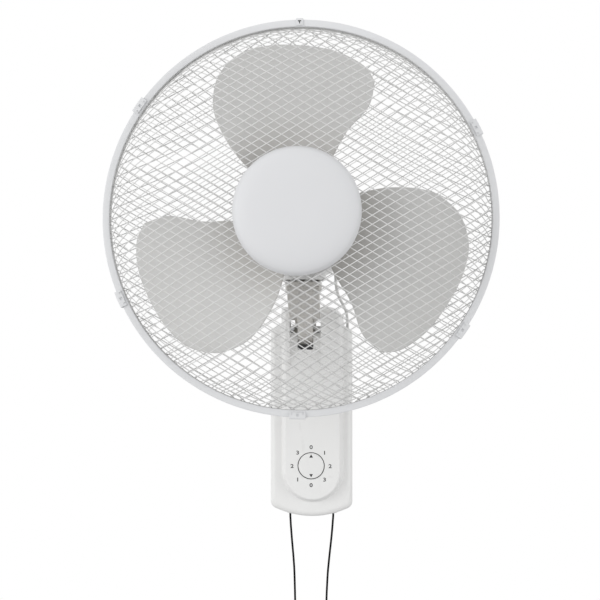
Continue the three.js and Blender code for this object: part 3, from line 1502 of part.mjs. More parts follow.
function buildHead() {
  place('motor_carrier', motorCarrier(), zinc, head);
  place('swing_bush', ring(POST_R + GAP, BUSH_R, up(SLEEVE_FOOT), up(SLEEVE_TOP), 12, 0, SWING_Y), nylon, head);
  place('swing_motor', swingMotor(), steel, head);
  place('swing_crank', swingCrank(), nylon, head);
  place('swing_link', swingLink(), steel, head);
  place('stator_core', statorCore(), laminations, head);
  place('winding_front', endWinding(-1), copper, head);
  place('winding_rear', endWinding(1), copper, head);
  place('front_end_bell', endBell(-1), zinc, head);
  place('rear_end_bell', endBell(1), zinc, head);
  place('front_bearing', bearing(-1), brass, head);
  place('rear_bearing', bearing(1), brass, head);
  place('motor_front_cover', frontCover(), whitePlastic, head);
  place('motor_rear_housing', rearHousing(), whitePlastic, head);
  place('guard_nut', guardNut(), whitePlastic, head);
  place('rear_guard', rearGuard(), whiteWire, head);
  place('front_guard', frontGuard(), whiteWire, head);
  place('guard_ring', guardRing(), whitePlastic, head);
  place('top_catch', topCatch(), whitePlastic, head);
  place('front_cap', frontCap(), whitePlastic, head);
  place('cap_retainer', capRetainer(), whitePlastic, head);
  CLIP_ANGLES.forEach((angle, i) => place(`guard_clip_${i + 1}`, guardClip(angle), whitePlastic, head));
  place('motor_lead', cordTube(LEAD_ROUTE, LEAD_R, 8), cablePvc);
}

function buildRotor() {
  place('rotor_core', rotorCore(), laminations, head);
  place('motor_shaft', motorShaft(), steel, head);
  place('fan_wheel', fanWheel(), bladePlastic, head);
  place('blade_nut', bladeNut(), greyPlastic, head);
}

buildColumn();
buildControls();
buildNeck();
buildHead();
buildRotor();

export default group;
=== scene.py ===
"""Wall mounted fan: the visual model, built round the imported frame.

The frame is in metres with +Z up. The wall is the plane y = 0 and the fan blows towards -Y.
Sizes below are millimetres, and a mesh is scaled to metres when its object is made.
"""

import bisect
import json
import logging
import math
from dataclasses import dataclass, field
from enum import Enum
from typing import Callable, Sequence

import bmesh
import bpy
from mathutils import Matrix, Vector

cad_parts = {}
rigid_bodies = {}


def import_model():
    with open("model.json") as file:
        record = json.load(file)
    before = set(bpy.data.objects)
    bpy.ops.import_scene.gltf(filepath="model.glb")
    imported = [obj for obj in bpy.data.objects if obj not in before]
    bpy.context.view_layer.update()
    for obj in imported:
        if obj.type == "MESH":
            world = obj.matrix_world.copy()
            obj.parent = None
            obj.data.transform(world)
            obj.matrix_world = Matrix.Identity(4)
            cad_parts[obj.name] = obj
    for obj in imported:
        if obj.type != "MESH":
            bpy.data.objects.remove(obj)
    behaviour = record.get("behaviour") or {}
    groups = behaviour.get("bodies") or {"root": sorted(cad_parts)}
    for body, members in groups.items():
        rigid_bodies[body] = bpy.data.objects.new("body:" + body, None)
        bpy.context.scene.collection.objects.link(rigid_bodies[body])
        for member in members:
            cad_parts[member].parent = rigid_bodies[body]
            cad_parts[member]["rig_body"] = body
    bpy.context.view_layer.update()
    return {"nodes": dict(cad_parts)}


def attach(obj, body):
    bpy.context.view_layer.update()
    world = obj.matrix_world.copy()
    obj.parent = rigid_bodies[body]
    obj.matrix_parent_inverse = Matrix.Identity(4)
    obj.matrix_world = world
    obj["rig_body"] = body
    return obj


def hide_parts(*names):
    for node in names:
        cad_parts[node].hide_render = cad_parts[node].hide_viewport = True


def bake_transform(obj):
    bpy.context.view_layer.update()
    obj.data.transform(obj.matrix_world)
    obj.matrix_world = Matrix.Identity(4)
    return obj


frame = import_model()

LOG = logging.getLogger("fan")

Pair = tuple[float, float]
Triple = tuple[float, float, float]
Colour = tuple[float, float, float]
Object = bpy.types.Object
Socket = bpy.types.NodeSocket
Sockets = bpy.types.bpy_prop_collection

MM = 0.001
GAP = 0.3  # between pieces that seat on each other
FAN_X = -7.5  # the fan's axis and the neck stand left of the column's middle
FAN_Z = 226.0
SWING_Y = -132.0
TILT_Y = -50.0
TILT_Z = 96.0
DIAL_Z = -67.0
PANEL_Y = -78.0  # face of the column's raised panel
CORD_X = 27.5  # from the column's middle to each pull cord
CORD_Y = -50.0
INLET_Y = -20.0
LEAD_TOP: Pair = (31.0, -104.0)  # x and y at which the motor lead enters the housing


# ------------------------ named options


class Slot(Enum):
    """Material slots of the record that the pieces take."""

    WHITE_HOUSING = "white_housing"
    WHITE_GLOSS = "white_gloss"
    GREY_HOUSING = "grey_housing"
    WHITE_WIRE = "white_wire"
    BLADE_PLASTIC = "blade_plastic"
    BLACK_PLASTIC = "black_plastic"
    BLACK_CORD = "black_cord"
    NYLON = "nylon"
    GALVANISED = "galvanised_steel"
    BRIGHT_STEEL = "bright_steel"
    CAST_ZINC = "cast_zinc"
    LAMINATIONS = "laminations"
    COPPER = "copper_winding"
    BRONZE = "sintered_bronze"
    CABLE_SHEATH = "cable_sheath"


class Axis(Enum):
    """Line that a profile is turned round."""

    FAN = "along Y"
    UP = "along Z"


class Plane(Enum):
    """Plane in which the outline of a prism is drawn."""

    FRONT = "x and z, running along y"
    SIDE = "y and z, running along x"
    PLAN = "x and y, running along z"


class Cut(Enum):
    """How a tool changes a body."""

    AWAY = "DIFFERENCE"
    JOIN = "UNION"


# ------------------------ shapes


@dataclass
class Shape:
    """Corners in millimetres and the faces between them."""

    corners: list[Vector] = field(default_factory=list)
    faces: list[tuple[int, ...]] = field(default_factory=list)

    def add(self, other: "Shape") -> "Shape":
        """Takes in another shape as a separate shell.

        Args:
            other: Shape whose corners and faces are copied.

        Returns:
            This shape.
        """
        offset = len(self.corners)
        self.corners.extend(other.corners)
        self.faces.extend(tuple(i + offset for i in f) for f in other.faces)
        return self

    def moved(self, matrix: Matrix) -> "Shape":
        """Returns a copy with every corner carried by a matrix."""
        return Shape([matrix @ c for c in self.corners], list(self.faces))


def arc(cx: float, cy: float, radius: float, start: float, end: float, steps: int) -> list[Pair]:
    """Points on an arc, its two ends included.

    Args:
        cx: First coordinate of the centre.
        cy: Second coordinate of the centre.
        radius: Radius of the arc.
        start: Angle of the first point, in degrees.
        end: Angle of the last point, in degrees.
        steps: Number of chords.

    Returns:
        The points in turn.
    """
    angles = [math.radians(start + (end - start) * i / steps) for i in range(steps + 1)]
    return [(cx + radius * math.cos(a), cy + radius * math.sin(a)) for a in angles]


def filleted(outline: Sequence[Pair], radius: float, steps: int = 4, closed: bool = True) -> list[Pair]:
    """Rounds the corners of an outline.

    Args:
        outline: Corners in turn.
        radius: Distance from a corner at which its rounding starts, where the sides allow it.
        steps: Chords per corner.
        closed: Whether the last corner joins the first. The ends of an open outline stay.

    Returns:
        The rounded outline.
    """
    count = len(outline)
    made: list[Pair] = []
    for i, corner in enumerate(outline):
        if not closed and i in (0, count - 1):
            made.append(corner)
            continue
        here = Vector(corner)
        before = Vector(outline[i - 1]) - here
        after = Vector(outline[(i + 1) % count]) - here
        reach = min(radius, before.length * 0.45, after.length * 0.45)
        a = here + before.normalized() * reach
        b = here + after.normalized() * reach
        for k in range(steps + 1):
            t = k / steps
            p = a * (1 - t) ** 2 + here * (2 * t * (1 - t)) + b * t**2
            made.append((p.x, p.y))
    return made


def eased(inset: float, face: float, across: float, deep: float, steps: int) -> list[Pair]:
    """Quarter round from the side of a loft to its face.

    Args:
        inset: Inset at which the round starts.
        face: Height of the face.
        across: Width of the round.
        deep: Depth of the round, negative where the face looks to the back.
        steps: Number of chords.

    Returns:
        Pairs of an inset and a height.
    """
    turns = [math.radians(90 * i / steps) for i in range(steps + 1)]
    return [(inset + across * (1 - math.cos(t)), face + deep - deep * math.sin(t)) for t in turns]


def turned(
    profile: Sequence[Pair],
    steps: int,
    axis: Axis = Axis.FAN,
    centre: Pair = (FAN_X, FAN_Z),
    span: Pair = (0.0, 360.0),
) -> Shape:
    """Turns a profile of radius and height round an axis.

    Args:
        profile: Pairs of radius and height. It is open where it starts on the axis.
        steps: Faces round the axis.
        axis: Direction of the axis.
        centre: Where the axis stands, in the plane across it.
        span: First and last angle in degrees.

    Returns:
        The turned shape.
    """
    whole = abs(span[1] - span[0] - 360) < 1e-6
    on_axis = profile[0][0] == 0
    turns = steps if whole else steps + 1
    shape = Shape()
    rings: list[list[int]] = []
    for k in range(turns):
        a = math.radians(span[0] + (span[1] - span[0]) * k / steps)
        ring = []
        for i, (r, h) in enumerate(profile):
            if r == 0 and k:
                ring.append(rings[0][i])
                continue
            u, v = centre[0] + r * math.cos(a), centre[1] + r * math.sin(a)
            shape.corners.append(Vector((u, h, v)) if axis is Axis.FAN else Vector((u, v, h)))
            ring.append(len(shape.corners) - 1)
        rings.append(ring)
    count = len(profile)
    links = count - 1 if on_axis else count
    for k in range(steps):
        near, far = rings[k], rings[(k + 1) % turns]
        for i in range(links):
            j = (i + 1) % count
            face = list(dict.fromkeys((near[i], near[j], far[j], far[i])))
            if len(face) > 2:
                shape.faces.append(tuple(face))
    if not whole:
        shape.faces.append(tuple(rings[0]))
        shape.faces.append(tuple(reversed(rings[-1])))
    return shape


def loft(sections: Sequence[tuple[Sequence[Pair], float]]) -> Shape:
    """Joins front-view outlines, each at its own y, into one closed body.

    Args:
        sections: Pairs of an outline and its y. The outlines have equally many points.

    Returns:
        The body.
    """
    count = len(sections[0][0])
    shape = Shape([Vector((x, y, z)) for outline, y in sections for x, z in outline])
    for s in range(len(sections) - 1):
        low, high = s * count, (s + 1) * count
        for i in range(count):
            j = (i + 1) % count
            shape.faces.append((low + i, low + j, high + j, high + i))
    last = (len(sections) - 1) * count
    shape.faces.append(tuple(range(count)))
    shape.faces.append(tuple(range(last, last + count)))
    return shape


def prism(outline: Sequence[Pair], plane: Plane, low: float, high: float) -> Shape:
    """Runs an outline straight from one height to another.

    Args:
        outline: Corners in the plane.
        plane: Plane of the outline.
        low: First height.
        high: Second height.

    Returns:
        The prism.
    """
    place: dict[Plane, Callable[[float, float, float], Triple]] = {
        Plane.FRONT: lambda a, b, h: (a, h, b),
        Plane.SIDE: lambda a, b, h: (h, a, b),
        Plane.PLAN: lambda a, b, h: (a, b, h),
    }
    count = len(outline)
    shape = Shape([Vector(place[plane](a, b, h)) for h in (low, high) for a, b in outline])
    shape.faces = [(i, (i + 1) % count, count + (i + 1) % count, count + i) for i in range(count)]
    shape.faces += [tuple(range(count)), tuple(range(count, 2 * count))]
    return shape


def block(low: Triple, high: Triple) -> Shape:
    """Returns a block between two corners, as a tool for cuts."""
    outline = [(low[0], low[2]), (high[0], low[2]), (high[0], high[2]), (low[0], high[2])]
    return prism(outline, Plane.FRONT, low[1], high[1])


def rod(radius: float, low: float, high: float, axis: Axis, centre: Pair, steps: int = 48) -> Shape:
    """Returns a round rod along an axis, between two heights."""
    return turned([(0, low), (radius, low), (radius, high), (0, high)], steps, axis, centre)


def rod_across(radius: float, x0: float, x1: float, y: float, z: float, steps: int = 48) -> Shape:
    """Returns a round rod along X."""
    return prism(arc(y, z, radius, 0, 360 - 360 / steps, steps - 1), Plane.SIDE, x0, x1)


def spline(points: Sequence[Vector], t: float) -> Vector:
    """Point on the smooth curve through given points.

    Args:
        points: Points that the curve passes.
        t: Place on the curve, from 0 to 1.

    Returns:
        The point.
    """
    place = (len(points) - 1) * t
    i = min(int(place), len(points) - 2)
    w = place - i
    p0, p1 = points[max(i - 1, 0)], points[i]
    p2, p3 = points[i + 1], points[min(i + 2, len(points) - 1)]
    v0, v1 = (p2 - p0) * 0.5, (p3 - p1) * 0.5
    cubic = (p1 * 2 - p2 * 2 + v0 + v1) * w**3
    return cubic + (p2 * 3 - p1 * 3 - v0 * 2 - v1) * w**2 + v0 * w + p1


def tube(path: Sequence[Vector], radius: float, sides: int) -> Shape:
    """Round tube along a path, closed at both ends.

    Args:
        path: Points of the middle line.
        radius: Radius of the tube.
        sides: Faces round it.

    Returns:
        The tube.
    """
    shape = Shape()
    normal = Vector((1, 0, 0))
    for k, p in enumerate(path):
        ahead = path[min(k + 1, len(path) - 1)] - path[max(k - 1, 0)]
        ahead.normalize()
        normal = (normal - ahead * normal.dot(ahead)).normalized()
        side = ahead.cross(normal)
        for i in range(sides):
            a = 2 * math.pi * i / sides
            shape.corners.append(p + normal * (radius * math.cos(a)) + side * (radius * math.sin(a)))
    close_tube(shape, 0, len(path), sides)
    return shape


def close_tube(shape: Shape, first: int, rings: int, sides: int) -> None:
    """Adds the skin and both ends of a tube whose rings of corners are already there.

    Args:
        shape: Shape that holds the corners.
        first: Number of the first corner of the first ring.
        rings: Number of rings.
        sides: Corners in a ring.
    """
    for k in range(rings - 1):
        low = first + k * sides
        for i in range(sides):
            j = (i + 1) % sides
            shape.faces.append((low + i, low + j, low + sides + j, low + sides + i))
    shape.faces.append(tuple(first + i for i in reversed(range(sides))))
    last = first + (rings - 1) * sides
    shape.faces.append(tuple(last + i for i in range(sides)))


# ------------------------ objects


WELD = 2e-6  # corners nearer than this, in metres, become one
FLAT = 0.1  # faces that meet at less than this angle, in degrees, become one
ROUND = 50.0  # greatest angle, in degrees, that is shaded round on a body with softened edges


def linked(name: str, data: object) -> Object:
    """Makes an object of some data and links it to the scene.

    Args:
        name: Name of the object.
        data: Its mesh, curve, text, lamp or camera.

    Returns:
        The object.
    """
    obj = bpy.data.objects.new(name, data)
    bpy.context.scene.collection.objects.link(obj)
    return obj


def made(name: str, shape: Shape, smooth: float = 32.0) -> Object:
    """Turns a shape into an object in metres.

    Args:
        name: Name of the object.
        shape: Corners and faces in millimetres.
        smooth: Greatest angle between faces that is shaded round, in degrees.

    Returns:
        The object, linked to the scene.
    """
    mesh = bpy.data.meshes.new(name)
    mesh.from_pydata([c * MM for c in shape.corners], [], shape.faces)
    obj = linked(name, mesh)
    outward(mesh)
    shade(mesh, smooth)
    return obj


def outward(mesh: bpy.types.Mesh) -> None:
    """Turns all faces of a mesh to the outside.

    Args:
        mesh: Mesh of closed shells.
    """
    bm = bmesh.new()
    bm.from_mesh(mesh)
    bmesh.ops.recalc_face_normals(bm, faces=bm.faces)
    bm.to_mesh(mesh)
    bm.free()


def shade(mesh: bpy.types.Mesh, smooth: float) -> None:
    """Shades a mesh round, with sharp edges above an angle in degrees."""
    mesh.shade_smooth()
    mesh.set_sharp_from_angle(angle=math.radians(smooth))


def baked(obj: Object) -> Object:
    """Applies all modifiers of an object.

    Args:
        obj: Object with modifiers.

    Returns:
        The same object with its final mesh.
    """
    graph = bpy.context.evaluated_depsgraph_get()
    graph.update()
    mesh = bpy.data.meshes.new_from_object(obj.evaluated_get(graph))
    obj.modifiers.clear()
    obj.data = mesh
    return obj


def shaped(obj: Object, how: Cut, *tools: Shape | Object) -> Object:
    """Joins bodies to an object or cuts them away.

    Args:
        obj: Object to change.
        how: Join or cut.
        tools: Shapes or objects that are used up.

    Returns:
        The same object.
    """
    bodies = [made("tool", t) if isinstance(t, Shape) else t for t in tools]
    for body in bodies:
        step = obj.modifiers.new("step", "BOOLEAN")
        step.object = body
        step.operation = how.value
        step.solver = "EXACT"
    baked(obj)
    for body in bodies:
        bpy.data.objects.remove(body)
    return obj


def softened(obj: Object, width: float, segments: int = 2, limit: float = 38.0) -> Object:
    """Breaks the sharp edges of an object with small rounded faces.

    Args:
        obj: Object to change.
        width: Width of the rounding, in millimetres.
        segments: Faces across the rounding.
        limit: Least angle of an edge that is rounded, in degrees.

    Returns:
        The same object.
    """
    bm = bmesh.new()
    bm.from_mesh(obj.data)
    bmesh.ops.remove_doubles(bm, verts=bm.verts, dist=WELD)
    bmesh.ops.dissolve_limit(bm, angle_limit=math.radians(FLAT), verts=bm.verts, edges=bm.edges)
    bm.to_mesh(obj.data)
    bm.free()
    rounding = obj.modifiers.new("edges", "BEVEL")
    rounding.width = width * MM
    rounding.segments = segments
    rounding.limit_method = "ANGLE"
    rounding.angle_limit = math.radians(limit)
    rounding.use_clamp_overlap = True
    baked(obj)
    shade(obj.data, ROUND)
    weighted = obj.modifiers.new("normals", "WEIGHTED_NORMAL")
    weighted.keep_sharp = True
    return baked(obj)


# ------------------------ shared effects


@dataclass
class Effects:
    """Shader node groups that several finishes share, each built once."""

    groups: dict[str, bpy.types.NodeTree] = field(default_factory=dict)

    def group(self, name: str, sockets: dict[str, float], fill: Callable) -> bpy.types.NodeTree:
        """Gives a node group, and builds it the first time.

        Args:
            name: Name of the group.
            sockets: Numeric inputs and their values. Every group puts out one Value.
            fill: Function that adds the nodes and returns the output socket.

        Returns:
            The node group.
        """
        if name not in self.groups:
            tree = bpy.data.node_groups.new(name, "ShaderNodeTree")
            for label, value in sockets.items():
                socket = tree.interface.new_socket(label, in_out="INPUT", socket_type="NodeSocketFloat")
                socket.default_value = value
            tree.interface.new_socket("Value", in_out="OUTPUT", socket_type="NodeSocketFloat")
            entry = tree.nodes.new("NodeGroupInput")
            leave = tree.nodes.new("NodeGroupOutput")
            tree.links.new(fill(Wiring(tree), entry.outputs), leave.inputs[0])
            self.groups[name] = tree
        return self.groups[name]

    def grain(self) -> bpy.types.NodeTree:
        """Fine moulded grain, as a height from 0 to 1."""
        return self.group("Fine grain", {"Scale": 900.0, "Detail": 3.0}, fill_grain)

    def mottle(self) -> bpy.types.NodeTree:
        """Slow unevenness of a colour, from 0 to 1."""
        return self.group("Slow mottle", {"Scale": 14.0}, fill_mottle)

    def wear(self) -> bpy.types.NodeTree:
        """Mask of rubbed outer edges."""
        return self.group("Edge wear", {"Amount": 0.3, "Scale": 120.0}, fill_wear)

    def dust(self) -> bpy.types.NodeTree:
        """Mask of dust that has settled on faces that look up."""
        return self.group("Settled dust", {"Amount": 0.2, "Scale": 60.0}, fill_dust)

    def brushed(self) -> bpy.types.NodeTree:
        """Long fine scratches, as a height from 0 to 1."""
        return self.group("Drawn lines", {"Scale": 60.0}, fill_brushed)


@dataclass
class Wiring:
    """Short ways to add nodes to a tree and link them."""

    tree: bpy.types.NodeTree

    def node(self, kind: str, **settings: object) -> bpy.types.Node:
        """Adds a node.

        Args:
            kind: Type of the node.
            settings: Properties of the node and their values.

        Returns:
            The node.
        """
        node = self.tree.nodes.new(kind)
        for key, value in settings.items():
            setattr(node, key, value)
        return node

    def put(self, socket: Socket, value: object) -> None:
        """Links a socket to another one, or sets its value.

        Args:
            socket: Input of a node.
            value: Output of another node, or a plain value.
        """
        if isinstance(value, bpy.types.NodeSocket):
            self.tree.links.new(value, socket)
        else:
            socket.default_value = value

    def math(self, operation: str, a: object, b: object = 0.0, clamp: bool = False) -> Socket:
        """Adds a math node.

        Args:
            operation: What it works out.
            a: First socket or number.
            b: Second socket or number.
            clamp: Whether the result stays between 0 and 1.

        Returns:
            The result.
        """
        node = self.node("ShaderNodeMath", operation=operation, use_clamp=clamp)
        self.put(node.inputs[0], a)
        self.put(node.inputs[1], b)
        return node.outputs[0]

    def ramp(self, value: Socket, low: float, high: float) -> Socket:
        """Maps a range of a value to 0 to 1, smoothly.

        Args:
            value: Value to map.
            low: Value that becomes 0.
            high: Value that becomes 1.

        Returns:
            The mapped value.
        """
        node = self.node("ShaderNodeMapRange", interpolation_type="SMOOTHSTEP")
        self.put(node.inputs["Value"], value)
        node.inputs["From Min"].default_value = low
        node.inputs["From Max"].default_value = high
        return node.outputs["Result"]

    def blend(self, share: object, a: object, b: object) -> Socket:
        """Mixes two colours.

        Args:
            share: How much of the second colour there is, as a socket or a number.
            a: First colour or socket.
            b: Second colour or socket.

        Returns:
            The mixed colour.
        """
        node = self.node("ShaderNodeMix", data_type="RGBA")
        self.put(node.inputs["Factor"], share)
        for label, value in (("A", a), ("B", b)):
            socket = next(s for s in node.inputs if s.name == label and s.type == "RGBA")
            self.put(socket, value if isinstance(value, bpy.types.NodeSocket) else (*value, 1.0))
        return next(s for s in node.outputs if s.type == "RGBA")

    def noise(self, scale: object, detail: object = 2.0, stretch: Triple = (1, 1, 1)) -> Socket:
        """Adds noise in the object's own space.

        Args:
            scale: Fineness of the noise, as a socket or a number.
            detail: Number of finer layers, as a socket or a number.
            stretch: Scale of the space along each axis.

        Returns:
            The noise, about 0 to 1.
        """
        place = self.node("ShaderNodeTexCoord").outputs["Object"]
        mapping = self.node("ShaderNodeMapping")
        self.put(mapping.inputs["Vector"], place)
        mapping.inputs["Scale"].default_value = stretch
        node = self.node("ShaderNodeTexNoise")
        self.put(node.inputs["Vector"], mapping.outputs[0])
        self.put(node.inputs["Scale"], scale)
        self.put(node.inputs["Detail"], detail)
        return node.outputs["Fac"]

    def parts(self, socket: Socket) -> Sockets:
        """Splits a vector.

        Args:
            socket: The vector.

        Returns:
            Its X, Y and Z.
        """
        node = self.node("ShaderNodeSeparateXYZ")
        self.put(node.inputs[0], socket)
        return node.outputs

    def place(self) -> Sockets:
        """Gives X, Y and Z of the place on the piece, in metres."""
        return self.parts(self.node("ShaderNodeTexCoord").outputs["Object"])

    def off_axis(self, place: Sockets) -> Socket:
        """Works out how far a place is from the fan's axis.

        Args:
            place: X, Y and Z of the place.

        Returns:
            The distance in metres.
        """
        across = self.math("SUBTRACT", place["X"], FAN_X * MM)
        rise = self.math("SUBTRACT", place["Z"], FAN_Z * MM)
        squares = self.math("ADD", self.math("POWER", across, 2.0), self.math("POWER", rise, 2.0))
        return self.math("SQRT", squares)


def fill_grain(wiring: Wiring, given: Sockets) -> Socket:
    """Nodes of the fine grain."""
    return wiring.noise(given["Scale"], given["Detail"])


def fill_mottle(wiring: Wiring, given: Sockets) -> Socket:
    """Nodes of the slow mottle."""
    return wiring.ramp(wiring.noise(given["Scale"], detail=3.0), low=0.3, high=0.7)


def fill_wear(wiring: Wiring, given: Sockets) -> Socket:
    """Nodes of the edge wear: outer edges, broken up by noise.

    Args:
        wiring: Wiring of the group's tree.
        given: Inputs of the group.

    Returns:
        The mask.
    """
    sharpness = wiring.node("ShaderNodeNewGeometry").outputs["Pointiness"]
    edge = wiring.ramp(sharpness, low=0.53, high=0.62)
    patchy = wiring.ramp(wiring.noise(given["Scale"], detail=4.0), low=0.42, high=0.68)
    mask = wiring.math("MULTIPLY", edge, patchy)
    return wiring.math("MULTIPLY", mask, given["Amount"], clamp=True)


def fill_dust(wiring: Wiring, given: Sockets) -> Socket:
    """Nodes of the settled dust: faces that look up, broken up by noise.

    Args:
        wiring: Wiring of the group's tree.
        given: Inputs of the group.

    Returns:
        The mask.
    """
    lift = wiring.parts(wiring.node("ShaderNodeNewGeometry").outputs["Normal"])["Z"]
    flat = wiring.ramp(lift, low=0.35, high=0.95)
    patchy = wiring.math("ADD", wiring.noise(given["Scale"], detail=5.0), 0.2)
    mask = wiring.math("MULTIPLY", flat, patchy)
    return wiring.math("MULTIPLY", mask, given["Amount"], clamp=True)


def fill_brushed(wiring: Wiring, given: Sockets) -> Socket:
    """Nodes of the drawn lines: noise stretched along one axis."""
    return wiring.noise(given["Scale"], detail=4.0, stretch=(1.0, 1.0, 40.0))


# ------------------------ finishes


def bare(name: str) -> tuple[bpy.types.Material, Wiring, bpy.types.Node]:
    """Makes a material that holds only its shader.

    Args:
        name: Name of the material.

    Returns:
        The material, the wiring of its tree and its shader.
    """
    material = bpy.data.materials.new(name)
    material.use_nodes = True
    tree = material.node_tree
    shader = next(n for n in tree.nodes if n.type == "BSDF_PRINCIPLED")
    return material, Wiring(tree), shader


@dataclass(frozen=True)
class Finish:
    """A procedural finish: colour, gloss, grain, unevenness, wear and dust."""

    colour: Colour
    roughness: float
    metallic: float = 0.0
    coat: float = 0.0
    specular: float = 0.5
    grain_scale: float = 900.0
    grain_depth: float = 0.004
    mottle: float = 0.03
    mottle_scale: float = 14.0
    wear: float = 0.15
    worn: Colour = (0.62, 0.61, 0.6)
    dust: float = 0.05
    dusty: Colour = (0.5, 0.49, 0.46)
    dust_roughness: float = 0.9
    sheen_swing: float = 0.06  # how much the roughness varies with the mottle
    coat_roughness: float = 0.12
    grain_strength: float = 0.6

    def tint(self, wiring: Wiring) -> object:
        """Gives the plain colour, before unevenness, wear and dust."""
        return self.colour

    def relief(self, wiring: Wiring, effects: Effects) -> Socket:
        """Gives the height that the bump is made from."""
        return placed(wiring, effects.grain(), Scale=self.grain_scale)

    def material(self, name: str, effects: Effects) -> bpy.types.Material:
        """Builds the material.

        Args:
            name: Name of the material.
            effects: Shared node groups.

        Returns:
            The material.
        """
        material, wiring, shader = bare(name)
        uneven = placed(wiring, effects.mottle(), Scale=self.mottle_scale)
        plain = self.tint(wiring)
        darker = self.darker(wiring, plain)
        colour = wiring.blend(uneven, plain, darker)
        worn = placed(wiring, effects.wear(), Amount=self.wear)
        colour = wiring.blend(worn, colour, self.worn)
        dust = placed(wiring, effects.dust(), Amount=self.dust)
        wiring.put(shader.inputs["Base Color"], wiring.blend(dust, colour, self.dusty))
        rough = wiring.math("MULTIPLY_ADD", uneven, self.sheen_swing)
        rough.node.inputs[2].default_value = self.roughness - self.sheen_swing / 2
        dull = wiring.math("MULTIPLY", dust, self.dust_roughness)
        wiring.put(shader.inputs["Roughness"], wiring.math("MAXIMUM", rough, dull))
        shader.inputs["Metallic"].default_value = self.metallic
        shader.inputs["Coat Weight"].default_value = self.coat
        shader.inputs["Specular IOR Level"].default_value = self.specular
        shader.inputs["Coat Roughness"].default_value = self.coat_roughness
        bump = wiring.node("ShaderNodeBump")
        bump.inputs["Strength"].default_value = self.grain_strength
        bump.inputs["Distance"].default_value = self.grain_depth * MM
        wiring.put(bump.inputs["Height"], self.relief(wiring, effects))
        wiring.put(shader.inputs["Normal"], bump.outputs[0])
        return material

    def darker(self, wiring: Wiring, plain: object) -> object:
        """Works out the darker end of the slow unevenness.

        Args:
            wiring: Wiring of the material's tree.
            plain: The plain colour, as a socket or three numbers.

        Returns:
            The darker colour, in the same form.
        """
        keep = 1 - self.mottle
        if isinstance(plain, bpy.types.NodeSocket):
            return wiring.blend(self.mottle, plain, (0.0, 0.0, 0.0))
        return tuple(c * keep for c in plain)


def placed(wiring: Wiring, tree: bpy.types.NodeTree, **values: float) -> Socket:
    """Puts a shared effect in a material.

    Args:
        wiring: Wiring of the material's tree.
        tree: Node group of the effect.
        values: Values of the group's inputs in this material.

    Returns:
        The effect's output.
    """
    node = wiring.node("ShaderNodeGroup", node_tree=tree)
    for label, value in values.items():
        node.inputs[label].default_value = value
    return node.outputs[0]


@dataclass(frozen=True)
class HubShadedBladeFinish(Finish):
    """Smoky moulding, darker near the hub than at the tips: the darker hub end is painted shade for the dark
    motor that shows through the blade.
    """

    # painted shade: the hub end's colour is darkened for the motor seen through the blade
    root: Colour = (0.5, 0.485, 0.46)
    shaded_root_radius: float = 45.0
    tip_radius: float = 125.0

    def tint(self, wiring: Wiring) -> object:
        """Mixes from the painted shade at the root to the tip's colour, by distance from the axis."""
        share = wiring.ramp(wiring.off_axis(wiring.place()), self.shaded_root_radius * MM, self.tip_radius * MM)
        return wiring.blend(share, self.root, self.colour)


@dataclass(frozen=True)
class DrawnFinish(Finish):
    """Metal with fine lines left by drawing or rolling."""

    def relief(self, wiring: Wiring, effects: Effects) -> Socket:
        """Gives the height of the drawn lines."""
        return placed(wiring, effects.brushed(), Scale=self.grain_scale)


@dataclass(frozen=True)
class SpangledFinish(Finish):
    """Zinc-coated sheet with its crystal pattern."""

    spangle: Colour = (0.42, 0.43, 0.45)
    crystals: float = 170.0

    def tint(self, wiring: Wiring) -> object:
        """Mixes two greys by cells the size of zinc crystals.

        Args:
            wiring: Wiring of the material's tree.

        Returns:
            The colour.
        """
        place = wiring.node("ShaderNodeTexCoord").outputs["Object"]
        cells = wiring.node("ShaderNodeTexVoronoi")
        wiring.put(cells.inputs["Vector"], place)
        cells.inputs["Scale"].default_value = self.crystals
        share = wiring.parts(cells.outputs["Color"])["X"]
        return wiring.blend(share, self.colour, self.spangle)


@dataclass(frozen=True)
class StackedFinish(Finish):
    """Stack of thin sheets along the fan's axis, seen as fine stripes."""

    sheet: float = 1.0
    seam: Colour = (0.1, 0.1, 0.11)

    def tint(self, wiring: Wiring) -> object:
        """Draws the dark seams between the sheets."""
        wave = wiring.math("MULTIPLY", wiring.place()["Y"], 2 * math.pi / (self.sheet * MM))
        return wiring.blend(wiring.ramp(wiring.math("SINE", wave), 0.55, 0.95), self.colour, self.seam)


@dataclass(frozen=True)
class WoundFinish(Finish):
    """Lacquered wire wound in bundles round the axis."""

    wire: float = 1.1
    sway: float = 3.0  # how far the strands stray from their place
    sway_scale: float = 60.0
    shadow: Colour = (0.16, 0.05, 0.02)

    def stripes(self, wiring: Wiring) -> Socket:
        """Draws wavy strands by distance from the fan's axis and along it.

        Args:
            wiring: Wiring of the material's tree.

        Returns:
            A wave from -1 to 1, one for each wire.
        """
        place = wiring.place()
        reach = wiring.math("ADD", wiring.off_axis(place), place["Y"])
        sway = wiring.math("MULTIPLY", wiring.noise(self.sway_scale), self.sway * MM)
        wavy = wiring.math("ADD", reach, sway)
        return wiring.math("SINE", wiring.math("MULTIPLY", wavy, 2 * math.pi / (self.wire * MM)))

    def tint(self, wiring: Wiring) -> object:
        """Darkens the valleys between the strands."""
        ridges = wiring.ramp(self.stripes(wiring), low=-0.9, high=0.2)
        return wiring.blend(ridges, self.shadow, self.colour)

    def relief(self, wiring: Wiring, effects: Effects) -> Socket:
        """Gives the strands as height."""
        return self.stripes(wiring)


